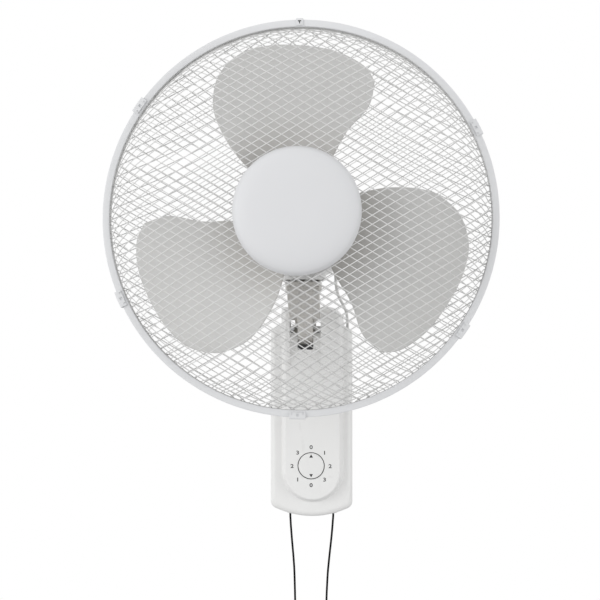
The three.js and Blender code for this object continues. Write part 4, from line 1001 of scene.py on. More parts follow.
@dataclass(frozen=True)
class BraidedFinish(Finish):
    """Fine braid of a pull cord, as slanting ribs along its length."""

    rib: float = 0.9

    def relief(self, wiring: Wiring, effects: Effects) -> Socket:
        """Draws crossing slanted ribs.

        Args:
            wiring: Wiring of the material's tree.
            effects: Shared node groups, which this finish doesn't need here.

        Returns:
            The height.
        """
        place = wiring.place()
        pace = 2 * math.pi / (self.rib * MM)
        up = wiring.math("MULTIPLY", place["Z"], pace)
        across = wiring.math("MULTIPLY", place["X"], pace)
        left = wiring.math("SINE", wiring.math("ADD", up, across))
        right = wiring.math("SINE", wiring.math("SUBTRACT", up, across))
        return wiring.math("MAXIMUM", left, right)


FINISHES: dict[Slot, Finish] = {
    Slot.WHITE_HOUSING: Finish((0.86, 0.86, 0.853), 0.45, mottle=0.015, grain_depth=0.006),
    Slot.WHITE_GLOSS: Finish((0.715, 0.72, 0.735), 0.5, mottle=0.01, grain_depth=0.002),
    Slot.GREY_HOUSING: Finish((0.67, 0.652, 0.622), 0.5, mottle=0.05, worn=(0.62, 0.6, 0.57), dust=0.12),
    Slot.WHITE_WIRE: Finish((0.74, 0.74, 0.735), 0.4, coat=0.1, mottle=0.04, mottle_scale=40.0, dust=0.06),
    Slot.BLADE_PLASTIC: HubShadedBladeFinish((0.65, 0.648, 0.638), 0.34, mottle=0.02, grain_depth=0.002, wear=0.08),
    Slot.BLACK_PLASTIC: Finish((0.012, 0.012, 0.013), 0.42, worn=(0.05, 0.05, 0.05), dust=0.06),
    Slot.BLACK_CORD: BraidedFinish(
        (0.006, 0.006, 0.006), 0.8, specular=0.15, grain_depth=0.02, wear=0.0, dust=0.0
    ),
    Slot.NYLON: Finish((0.62, 0.6, 0.54), 0.5, mottle=0.06, grain_depth=0.006),
    Slot.GALVANISED: SpangledFinish((0.5, 0.51, 0.53), 0.38, metallic=1.0, mottle=0.1, wear=0.3, dust=0.1),
    Slot.BRIGHT_STEEL: DrawnFinish((0.6, 0.61, 0.62), 0.26, metallic=1.0, grain_scale=500.0, dust=0.04),
    Slot.CAST_ZINC: Finish((0.4, 0.41, 0.42), 0.55, metallic=0.9, grain_scale=500.0, grain_depth=0.06),
    Slot.LAMINATIONS: StackedFinish((0.3, 0.31, 0.33), 0.5, metallic=0.9, mottle=0.15),
    Slot.COPPER: WoundFinish((0.6, 0.25, 0.1), 0.34, metallic=0.85, grain_depth=0.25),
    Slot.BRONZE: Finish((0.55, 0.4, 0.2), 0.45, metallic=1.0, grain_scale=1500.0, grain_depth=0.03),
    Slot.CABLE_SHEATH: Finish((0.7, 0.7, 0.69), 0.5, mottle=0.05, grain_depth=0.01),
}
# The ring, its clips and the catch are of a cooler and slightly darker white than the column.
RING_WHITE = Finish((0.755, 0.762, 0.775), 0.5, mottle=0.015, grain_depth=0.004)


@dataclass
class Palette:
    """Materials by name, each built once."""

    effects: Effects = field(default_factory=Effects)
    stock: dict[str, bpy.types.Material] = field(default_factory=dict)

    def of(self, slot: Slot) -> bpy.types.Material:
        """Gives the material of a slot."""
        return self.named(slot.value, FINISHES[slot])

    def named(self, name: str, finish: Finish) -> bpy.types.Material:
        """Gives the material of a finish, and builds it the first time.

        Args:
            name: Name of the material.
            finish: Finish that it is built from.

        Returns:
            The material.
        """
        if name not in self.stock:
            self.stock[name] = finish.material(name, self.effects)
        return self.stock[name]


@dataclass
class Assembly:
    """A sub-assembly of the fan."""

    palette: Palette

    def dress(self, obj: Object, slot: Slot, body: str, nodes: Sequence[str] = ()) -> Object:
        """Gives a piece its finish and its body.

        Args:
            obj: The piece, in place.
            slot: Slot that its finish comes from.
            body: Body of the frame that it rides on.
            nodes: Nodes of the frame that it stands for.

        Returns:
            The piece.
        """
        obj.data.materials.clear()
        obj.data.materials.append(self.palette.of(slot))
        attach(obj, body)
        if nodes:
            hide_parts(*nodes)
        LOG.info("%s rides on %s", obj.name, body)
        return obj

    def refine(self, node: str, name: str, slot: Slot, width: float) -> Object:
        """Replaces a node by a copy with rounded edges.

        Args:
            node: Node of the frame.
            name: Name of the new piece.
            slot: Slot that its finish comes from.
            width: Width of the rounding, in millimetres.

        Returns:
            The new piece.
        """
        source = frame["nodes"][node]
        obj = softened(linked(name, source.data.copy()), width)
        return self.dress(obj, slot, source["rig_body"], [node])


# ------------------------ studio


@dataclass
class Studio:
    """Camera, soft lamps, pale floor and white surroundings."""

    eye: Triple = (0.0407, -1.439, 0.1)
    turn: float = 2.3
    lens: float = 65.0
    rise: float = 0.055  # the photograph's frame reaches higher than the level line of sight
    floor_z: float = -0.95
    floor_radius: float = 2.2
    floor_thickness: float = 0.005
    floor_seen: float = 0.93  # grey of the floor to the camera
    floor_bounce: float = 0.55  # grey of the floor to all other rays
    aim: Triple = (0.0, -0.2, 0.1)  # what the lamps face
    lamp_size: float = 1.4
    key: Triple = (-1.9, -1.5, 0.35)
    key_power: float = 16.0
    fill: Triple = (1.9, -1.5, 0.15)
    fill_power: float = 10.0
    ambient: float = 0.68
    drift: Triple = (-0.1, -0.13, 0.12)  # the surroundings are brighter to the left, the front and above

    def camera(self) -> None:
        """Makes the camera at the photograph's place."""
        data = bpy.data.cameras.new("camera")
        data.lens = self.lens
        data.sensor_width = 36.0
        data.shift_y = self.rise
        obj = linked("camera", data)
        obj.location = self.eye
        obj.rotation_euler = (math.radians(90), 0.0, math.radians(self.turn))
        bpy.context.scene.camera = obj

    def lamp(self, name: str, place: Triple, power: float) -> None:
        """Makes a soft square lamp that faces the fan.

        Args:
            name: Name of the lamp.
            place: Where it stands.
            power: Its power in watts.
        """
        data = bpy.data.lights.new(name, "AREA")
        data.size = self.lamp_size
        data.energy = power
        obj = linked(name, data)
        obj.location = place
        ahead = Vector(self.aim) - Vector(place)
        obj.rotation_euler = ahead.to_track_quat("-Z", "Y").to_euler()

    def surroundings(self) -> None:
        """White to the eye and in reflections, softer and uneven as a light."""
        world = bpy.data.worlds.new("surroundings")
        world.use_nodes = True
        bpy.context.scene.world = world
        world.node_tree.nodes.clear()
        wiring = Wiring(world.node_tree)
        path = wiring.node("ShaderNodeLightPath").outputs
        seen = wiring.math("MAXIMUM", path["Is Camera Ray"], path["Is Transmission Ray"])
        seen = wiring.math("MAXIMUM", seen, path["Is Glossy Ray"])
        aim = wiring.node("ShaderNodeVectorMath", operation="DOT_PRODUCT")
        wiring.put(aim.inputs[0], wiring.node("ShaderNodeTexCoord").outputs["Generated"])
        aim.inputs[1].default_value = self.drift
        light = wiring.node("ShaderNodeBackground")
        wiring.put(light.inputs["Strength"], wiring.math("ADD", aim.outputs["Value"], self.ambient))
        white = wiring.node("ShaderNodeBackground")
        for node in (light, white):
            node.inputs["Color"].default_value = (1, 1, 1, 1)
        mix = wiring.node("ShaderNodeMixShader")
        wiring.put(mix.inputs[0], seen)
        wiring.put(mix.inputs[1], light.outputs[0])
        wiring.put(mix.inputs[2], white.outputs[0])
        wiring.put(wiring.node("ShaderNodeOutputWorld").inputs[0], mix.outputs[0])

    def floor(self) -> None:
        """Makes the pale round floor."""
        top, edge = self.floor_z / MM, self.floor_radius / MM
        low = top - self.floor_thickness / MM
        profile = [(0, top), (edge, top), (edge, low), (0, low)]
        obj = made("floor", turned(profile, 96, Axis.UP, (0, 0)))
        material, wiring, shader = bare("floor")
        seen = wiring.node("ShaderNodeLightPath").outputs["Is Camera Ray"]
        pale = wiring.blend(seen, (self.floor_bounce,) * 3, (self.floor_seen,) * 3)
        wiring.put(shader.inputs["Base Color"], pale)
        shader.inputs["Roughness"].default_value = 0.9
        obj.data.materials.append(material)

    def build(self) -> None:
        """Sets the whole studio up."""
        bpy.context.scene.view_settings.view_transform = "Standard"
        self.camera()
        self.surroundings()
        self.lamp("key", self.key, self.key_power)
        self.lamp("fill", self.fill, self.fill_power)
        self.floor()


# ------------------------ pull cords


# Middle lines of the two cords, from sleeve to knob, through the same points as in the CAD part.
SWING_ROUTE: list[Triple] = [
    (-27.5, -50, -128.3), (-27.5, -50, -134), (-27.2, -50, -140), (-26.7, -50, -148),
    (-26.1, -50, -156), (-25.4, -50, -165), (-24.6, -50, -174), (-23.8, -50, -183),
    (-23.1, -50, -192), (-22.5, -50, -201), (-22.1, -50, -211), (-21.8, -50, -222),
    (-21.5, -50, -233), (-21.3, -50, -244), (-21.1, -50, -256), (-21, -50, -268),
    (-21, -50, -280), (-21, -50, -292), (-21, -50, -304), (-21, -50, -316),
]
SPEED_ROUTE: list[Triple] = [
    (27.5, -50, -128.3), (27.5, -50, -134), (27, -50, -141), (26.4, -50, -149),
    (25.6, -50, -158), (24.7, -50, -167), (23.7, -50, -176), (22.7, -50, -185),
    (21.8, -50, -194), (20.9, -50, -203), (20.2, -50, -213), (19.6, -50, -224),
    (19.1, -50, -235), (18.8, -50, -246), (18.6, -50, -257), (18.5, -50, -268),
    (18.5, -50, -280), (18.5, -50, -292), (18.5, -50, -304), (18.5, -50, -316),
]


@dataclass
class PullCord(Assembly):
    """A black pull cord with its bell-shaped knob."""

    kind: str = "speed"
    route: list[Triple] = field(default_factory=list)
    radius: float = 1.3
    knob_height: float = 22.0
    knob_top: float = 2.4
    knob_waist: float = 3.6
    knob_foot: float = 5.8
    knob_hollow: float = 3.2

    def cord(self) -> Object:
        """Makes the cord as a smooth curve along its route.

        Returns:
            The cord.
        """
        curve = bpy.data.curves.new(f"{self.kind}_pull_cord", "CURVE")
        curve.dimensions = "3D"
        curve.bevel_depth = self.radius * MM
        curve.bevel_resolution = 3
        curve.use_fill_caps = True
        curve.resolution_u = 4
        line = curve.splines.new("BEZIER")
        line.bezier_points.add(len(self.route) - 1)
        for point, place in zip(line.bezier_points, self.route):
            point.co = Vector(place) * MM
            point.handle_left_type = point.handle_right_type = "AUTO"
        return linked(curve.name, curve)

    def knob(self) -> Object:
        """Makes the knob, hollow at its foot, on the cord's lower end.

        Returns:
            The knob.
        """
        x, y, z = self.route[-1]
        top, h = z - GAP, self.knob_height
        low, waist, foot = top - h, self.knob_waist, self.knob_foot
        side = [
            (self.knob_top, top), (3, top - 2), (waist, top - h * 0.45),
            (foot - 0.2, top - h * 0.8), (foot, top - h * 0.94),
        ]
        curve = [spline([Vector(p) for p in side], i / 24) for i in range(25)]
        profile = [
            (0, top), (self.knob_top - 0.4, top), *((p.x, p.y) for p in curve), (foot - 1, low),
            (waist, low + 0.3), (self.knob_hollow, low + 4), (0, low + 4.6),
        ]
        return made(f"{self.kind}_pull_knob", turned(profile, 48, Axis.UP, (x, y)))

    def build(self) -> None:
        body = f"{self.kind}_pull"
        cord = self.dress(self.cord(), Slot.BLACK_CORD, body, [f"{self.kind}_cord"])
        knob = self.dress(self.knob(), Slot.BLACK_PLASTIC, body, [f"{self.kind}_knob"])


# ------------------------ column


@dataclass
class Column(Assembly):
    """Hollow column on its wall bracket, with the raised panel."""

    width: float = 104.0
    top: float = 109.0
    bottom: float = -133.0
    front: float = -66.0
    back: float = -3.3
    split: float = -36.0
    sag: float = 13.0
    corner: float = 12.0
    wall: float = 2.5
    panel_width: float = 79.0
    panel_x: float = 1.5
    panel_face: float = PANEL_Y
    panel_top: float = 133.0
    panel_round: float = -75.0
    flank: float = 6.5
    opening: float = 39.0
    opening_z: float = 100.0
    slot_width: float = 20.0
    slot_z: float = 79.0
    slot_back: float = -30.0
    scoop_z: float = 57.0
    dial_hole: float = 17.1
    cord_hole: float = 4.8
    inlet_hole: float = 6.3
    floor_span: Pair = (-140.0, -110.0)  # heights between which holes are drilled through the floor
    lead_x: float = 45.8
    lead_half: float = 3.6  # half the width of the lead's hole
    lead_span: Pair = (-62.0, -42.0)  # front and back of that hole
    hook_z: float = 52.0  # height of the bracket's hooks, above and below the middle
    hook_half: float = 8.0
    hook_rise: float = 3.3
    hook_drop: float = 16.0  # height of a hook's slot
    screw_x: float = 26.0
    screw_z: float = -58.0
    window_half: float = 8.5  # half the width of a window in front of a screw
    window_rise: float = 8.0
    keyhole: Pair = (24.0, 50.0)  # lower and upper end of the window in front of a keyhole
    posts: tuple[Pair, ...] = ((-38, 84), (40, 84), (-40, -100), (40, -100))
    post_radius: float = 4.0
    post_bore: float = 2.0
    face_round: float = 7.0  # rounding between side and face
    back_round: float = 4.0
    foot_round: float = 10.0
    past: float = 9.0  # how far a cutting tool reaches beyond the shell
    sleeve_low: float = -130.2
    sleeve_top: float = -122.0
    sleeve_flange: float = 1.6

    def outline(self, inset: float) -> list[Pair]:
        """Front outline with bowed foot and rounded corners.

        Args:
            inset: Distance that the outline moves in.

        Returns:
            The outline.
        """
        half = self.width / 2 - inset
        low = self.bottom + inset
        foot = self.foot_round
        corner = max(self.corner - inset, 1.0)
        slope = math.degrees(math.atan(2 * self.sag / half))
        reach = half - foot + foot * math.sin(math.radians(slope))

        def bow(x: float) -> float:
            """Height of the bowed foot at x."""
            return low + self.sag * (x / half) ** 2

        foot_z = bow(reach) + foot * math.cos(math.radians(slope))
        steps = 28
        base = [reach * (2 * i / steps - 1) for i in range(1, steps)]
        return [
            *((x, bow(x)) for x in base),
            *arc(half - foot, foot_z, foot, slope - 90, 0, 8),
            *arc(half - corner, self.top - inset - corner, corner, 0, 90, 10),
            *arc(corner - half, self.top - inset - corner, corner, 90, 180, 10),
            *arc(foot - half, foot_z, foot, 180, 270 - slope, 8),
        ]

    def panel(self, inset: float, floor: float | None = None) -> list[Pair]:
        """Front outline of the raised panel, moved in by an inset.

        Args:
            inset: Distance that the outline moves in.
            floor: Height at which the outline ends square, in place of its round lower end.

        Returns:
            The outline.
        """
        half = self.panel_width / 2 - inset
        wide, tight = max(20 - inset, 1.0), max(6 - inset, 0.8)
        top = self.panel_top - inset
        right, left = self.panel_x + half, self.panel_x - half
        foot = arc(self.panel_x, self.panel_round, half, 180, 360, 48)
        if floor is not None:
            foot = [(left, floor), (right, floor)]
        return [
            *foot,
            *arc(right - wide, top - wide, wide, 0, 90, 12),
            *arc(left + tight, top - tight, tight, 90, 180, 6),
        ]

    def scoop(self, extra: float) -> Shape:
        """Hollow in the panel's face in front of the neck, as a tool for cuts.

        Args:
            extra: How much bigger it is on every side.

        Returns:
            The tool.
        """
        near, high = self.panel_face - self.past - 1, self.panel_top + self.past + 1
        deep = self.front + 2 + extra
        side = [
            (near, self.scoop_z - extra),
            (self.panel_face + extra, self.scoop_z - extra),
            (deep, self.opening_z + 1),
            (deep, high),
            (near, high),
        ]
        half = self.opening / 2 + extra
        return prism(side, Plane.SIDE, FAN_X - half, FAN_X + half)

    def space(self) -> Object:
        """Room inside the front shell, as a tool for cuts.

        Returns:
            The tool.
        """
        wall = self.wall
        obj = made("space", loft([
            (self.outline(wall), self.split + 2),
            (self.outline(wall), self.front + self.face_round),
            (self.outline(wall + 3), self.front + wall),
        ]))
        shaped(obj, Cut.JOIN, loft([
            (self.panel(wall), self.split + 2),
            (self.panel(wall + 1), self.front),
            (self.panel(wall + self.flank), self.panel_face + wall),
        ]))
        half = self.opening / 2 + wall
        low, high = self.opening_z + 4, self.panel_top + self.past
        kept = block((FAN_X - half, self.panel_face, low), (FAN_X + half, 0, high))
        return shaped(obj, Cut.AWAY, kept, self.scoop(wall))

    def front_shell(self) -> Object:
        """Front shell with its panel, ears, openings and screw posts.

        Returns:
            The shell.
        """
        edge = eased(0, self.front, self.face_round, self.face_round, 8)
        obj = made("column_front_moulding", loft([
            (self.outline(0), self.split),
            *((self.outline(inset), y) for inset, y in edge),
        ]))
        rim = eased(self.flank - 1.6 - 0.5, self.panel_face, 2.1, 1.8, 8)
        panel = loft([
            (self.panel(0), self.front + 4),
            (self.panel(0.5), self.front - 1),
            *((self.panel(inset), y) for inset, y in rim),
        ])
        ears = loft([
            (self.panel(0, self.top - 14), self.split),
            (self.panel(0, self.top - 14), self.front + 2),
        ])
        shaped(obj, Cut.JOIN, panel, ears)
        shaped(obj, Cut.AWAY, self.space())
        shaped(obj, Cut.JOIN, *self.rods(self.post_radius, self.front + 1, self.split, 24))
        half, slot_half = self.opening / 2, self.slot_width / 2
        near, lead = self.panel_face - self.past, self.lead_half
        slot = filleted([
            (FAN_X - slot_half, self.slot_z),
            (FAN_X + slot_half, self.slot_z),
            (FAN_X + slot_half, self.opening_z + 1),
            (FAN_X - slot_half, self.opening_z + 1),
        ], 2.0)
        shaped(
            obj,
            Cut.AWAY,
            block((FAN_X - half, near, self.opening_z), (FAN_X + half, 0, self.panel_top + self.past)),
            prism(slot, Plane.FRONT, near, self.slot_back),
            self.scoop(0),
            rod(self.dial_hole, self.panel_face - 1, self.panel_face + 5, Axis.FAN, (0, DIAL_Z), 96),
            block(
                (self.lead_x - lead, self.lead_span[0], self.top - 13),
                (self.lead_x + lead, self.lead_span[1], self.top + 1),
            ),
            *(rod(self.cord_hole, *self.floor_span, Axis.UP, (side * CORD_X, CORD_Y)) for side in (-1, 1)),
        )
        return softened(obj, 0.5)

    def rods(self, radius: float, low: float, high: float, steps: int) -> list[Shape]:
        """Returns a rod along Y at the place of each screw post."""
        return [rod(radius, low, high, Axis.FAN, place, steps) for place in self.posts]

    def back_shell(self) -> Object:
        """Back shell with its slots for the hooks, its windows for the screws and its posts.

        Returns:
            The shell.
        """
        rim = self.split + GAP
        edge = eased(0, self.back, self.back_round, -self.back_round, 5)
        obj = made("column_back_moulding", loft([
            (self.outline(0), rim),
            *((self.outline(inset), y) for inset, y in edge),
        ]))
        room = loft([
            (self.outline(self.wall), rim - 2),
            (self.outline(self.wall + 1), self.back - self.wall),
        ])
        shaped(obj, Cut.AWAY, room)
        shaped(obj, Cut.JOIN, *self.rods(self.post_radius, rim, self.back - 1, 24))
        tools = self.rods(self.post_bore, rim - 1, self.back + 1, 20)
        inner, hook, half = self.back - self.wall - 1, self.hook_half, self.window_half
        screw = (self.screw_z - self.window_rise, self.screw_z + self.window_rise)
        for side in (-1, 1):
            high = side * self.hook_z + self.hook_rise
            tools.append(block((-hook, inner, high - self.hook_drop), (hook, 0, high)))
            middle = side * self.screw_x
            for low, high in (self.keyhole, screw):
                tools.append(block((middle - half, inner, low), (middle + half, 0, high)))
        tools.append(rod(self.inlet_hole, *self.floor_span, Axis.UP, (0, INLET_Y)))
        shaped(obj, Cut.AWAY, *tools)
        return softened(obj, 0.4)

    def bushing(self, side: int) -> Object:
        """Sleeve in the column's floor for a pull cord, its mouth rounded.

        Args:
            side: -1 for the left one and 1 for the right one.

        Returns:
            The sleeve.
        """
        low, top, name = self.sleeve_low, self.sleeve_top, {-1: "left", 1: "right"}[side]
        under = top - self.sleeve_flange
        profile = filleted([(2.2, low), (4.5, low), (4.5, under), (5.8, under), (5.8, top), (2.2, top)], 0.4)
        shape = turned(profile, 48, Axis.UP, (side * CORD_X, CORD_Y))
        return made(f"cord_sleeve_{name}", shape)

    def grommet(self) -> Object:
        """White grommet of the mains inlet.

        Returns:
            The grommet.
        """
        low, bore, shaft = self.bottom - GAP, 3.6, self.inlet_hole - GAP
        profile = [
            (bore, low - 2), (8, low - 2), (8, low), (shaft, low),
            (shaft, low + 5), (7, low + 6), (bore, low + 7),
        ]
        return made("mains_inlet_grommet", turned(filleted(profile, 0.8), 48, Axis.UP, (0, INLET_Y)))

    def build(self) -> None:
        """Makes the column's pieces."""
        self.dress(self.front_shell(), Slot.WHITE_HOUSING, "column", ["column_front_shell"])
        self.dress(self.back_shell(), Slot.WHITE_HOUSING, "column", ["column_back_shell"])
        for side, node in ((-1, "cord_bushing_left"), (1, "cord_bushing_right")):
            self.dress(self.bushing(side), Slot.WHITE_HOUSING, "column", [node])
        self.dress(self.grommet(), Slot.WHITE_HOUSING, "column", ["mains_grommet"])
        self.refine("wall_bracket", "hanging_bracket", Slot.GALVANISED, 0.4)
        self.refine("tilt_fork", "tilt_cheeks", Slot.GALVANISED, 0.4)
        self.refine("tilt_bolt", "tilt_hex_bolt", Slot.BRIGHT_STEEL, 0.4)
        self.refine("tilt_nut", "tilt_hex_nut", Slot.BRIGHT_STEEL, 0.3)


@dataclass
class Dial(Assembly):
    """Speed dial with its arrows, and the figures on the panel round it."""

    radius: float = 16.0
    face: float = -77.7
    back: float = -75.7
    spindle: float = 4.0
    arrow_half: float = 2.3
    arrows: tuple[Pair, ...] = ((14.4, 10.3), (-14.4, -10.4))  # tip and foot of each, from the middle
    figures: str = "01230123"
    figure_ring: float = 23.9
    figure_size: float = 6.6
    figure_width: float = 1.22  # stretch of a figure
    bold: float = 0.15  # how far a figure's strokes are thickened on each side
    figure_drop: float = 0.6  # what centres the figures on their ring
    ink: float = 0.06  # half the thickness of a print

    def disc(self) -> Object:
        """Disc on its spindle, with a rounded rim.

        Returns:
            The disc.
        """
        soft, spindle, end = 0.5, self.spindle, self.back + 10.5
        rim = arc(self.radius - soft, self.face + soft, soft, -90, 0, 5)
        profile = [
            (0, self.face), (self.radius * 0.5, self.face), *rim,
            (self.radius, self.back), (spindle, self.back), (spindle, end), (0, end),
        ]
        return made("dial_disc", turned(profile, 96, Axis.FAN, (0, DIAL_Z)))

    def arrow(self, tip: float, foot: float) -> Shape:
        """Flat triangle on the disc.

        Args:
            tip: Height of its tip over the dial's middle.
            foot: Height of its foot over the dial's middle.

        Returns:
            The triangle.
        """
        half, base = self.arrow_half, DIAL_Z + foot
        corners = [(-half, base), (half, base), (0, DIAL_Z + tip)]
        return prism(corners, Plane.FRONT, self.face - self.ink, self.face + self.ink)

    def numbers(self) -> Object:
        """Figures 0 to 3, twice round the dial, as thin prints on the panel.

        Returns:
            All figures as one piece.
        """
        copies = []
        for i, figure in enumerate(self.figures):
            angle = math.radians(90 - 360 / len(self.figures) * i)
            x, z = self.figure_ring * math.cos(angle), self.figure_ring * math.sin(angle)
            text = bpy.data.curves.new("figure", "FONT")
            text.body = figure
            text.size = self.figure_size
            text.extrude = self.ink
            text.offset = self.bold
            text.align_x, text.align_y = "CENTER", "CENTER"
            obj = linked("figure", text)
            obj.location = Vector((x, PANEL_Y, z + DIAL_Z - self.figure_drop)) * MM
            obj.rotation_euler = (math.radians(90), 0, 0)
            obj.scale = (self.figure_width * MM, MM, MM)
            copies.append(obj)
        bpy.context.view_layer.update()
        bm = bmesh.new()
        graph = bpy.context.evaluated_depsgraph_get()
        for obj in copies:
            mesh = bpy.data.meshes.new_from_object(obj.evaluated_get(graph))
            mesh.transform(obj.matrix_world)
            bm.from_mesh(mesh)
            bpy.data.objects.remove(obj)
        mesh = bpy.data.meshes.new("dial_numbers")
        bm.to_mesh(mesh)
        bm.free()
        return linked(mesh.name, mesh)

    def build(self) -> None:
        """Makes the dial and its prints."""
        self.dress(self.disc(), Slot.WHITE_HOUSING, "dial", ["speed_dial"])
        marks = Shape()
        for tip, foot in self.arrows:
            marks.add(self.arrow(tip, foot))
        self.dress(made("dial_arrows", marks), Slot.BLACK_PLASTIC, "dial")
        self.dress(self.numbers(), Slot.BLACK_PLASTIC, "column")


# ------------------------ neck and motor


@dataclass
class Neck(Assembly):
    """Cast neck between the column's fork and the swing post."""

    collar: float = 22.0
    collar_top: float = 162.0
    collar_height: float = 14.0
    arm_half: float = 19.0
    tongue_half: float = 13.0
    rib_half: float = 9.5
    boss: float = 11.0
    bolt_bore: float = 3.3
    post_bore: float = 8.3
    post_depth: float = 10.3
    pin_x: float = 18.5  # pin that the swing's link pulls on, from the fan's axis
    pin_radius: float = 2.0
    pin_top: float = 182.0

    def casting(self) -> Object:
        """Arm, tongue, rib and collar in one, with the bores of bolt and post.

        Returns:
            The casting.
        """
        top = self.collar_top
        low = top - self.collar_height
        arm = [
            (TILT_Y - 10, TILT_Z + 20), (TILT_Y - 20, TILT_Z + 32), (SWING_Y + 24, low + 2),
            (SWING_Y + 21, top - 6), (SWING_Y - 19, top - 6),
            (SWING_Y - 19, low + 2), (SWING_Y - 6, low - 10), (TILT_Y - 36, TILT_Z + 22),
        ]
        tongue = [
            (TILT_Y + 10, TILT_Z + 9), (TILT_Y - 12, TILT_Z + 33), (TILT_Y - 48, TILT_Z + 50),
            (TILT_Y - 32, TILT_Z + 22), (TILT_Y - 18, TILT_Z + 17), (TILT_Y - 6, TILT_Z + 9),
        ]
        rib = [
            (TILT_Y - 6, TILT_Z - 12), (TILT_Y - 20, TILT_Z), (TILT_Y - 48, TILT_Z + 26),
            (SWING_Y - 6, low - 8), (SWING_Y + 12, low + 1), (TILT_Y - 18, TILT_Z + 18),
        ]
        rim = filleted([
            (0, low - 8), (13.2, low - 7), (20.5, low), (self.collar, low + 3),
            (self.collar, top - 1), (self.collar - 1, top), (0, top),
        ], 1.5, closed=False)
        obj = made("cast_neck", turned(rim, 72, Axis.UP, (FAN_X, SWING_Y)))
        shaped(
            obj,
            Cut.JOIN,
            prism(filleted(arm, 4), Plane.SIDE, FAN_X - self.arm_half, FAN_X + self.arm_half),
            prism(filleted(tongue, 3), Plane.SIDE, FAN_X - self.tongue_half, FAN_X + self.tongue_half),
            prism(filleted(rib, 3), Plane.SIDE, FAN_X - self.rib_half, FAN_X + self.rib_half),
            rod_across(self.boss, FAN_X - self.tongue_half, FAN_X + self.tongue_half, TILT_Y, TILT_Z),
            rod(self.pin_radius, top - 4, self.pin_top, Axis.UP, (FAN_X + self.pin_x, SWING_Y), 24),
        )
        beyond = 2 * self.tongue_half
        shaped(
            obj,
            Cut.AWAY,
            rod(self.post_bore, top - self.post_depth, top + 1, Axis.UP, (FAN_X, SWING_Y)),
            rod_across(self.bolt_bore, FAN_X - beyond, FAN_X + beyond, TILT_Y, TILT_Z, 24),
        )
        return softened(obj, 1.0, 3)

    def build(self) -> None:
        """Makes the neck."""
        self.dress(self.casting(), Slot.GREY_HOUSING, "neck", ["neck"])


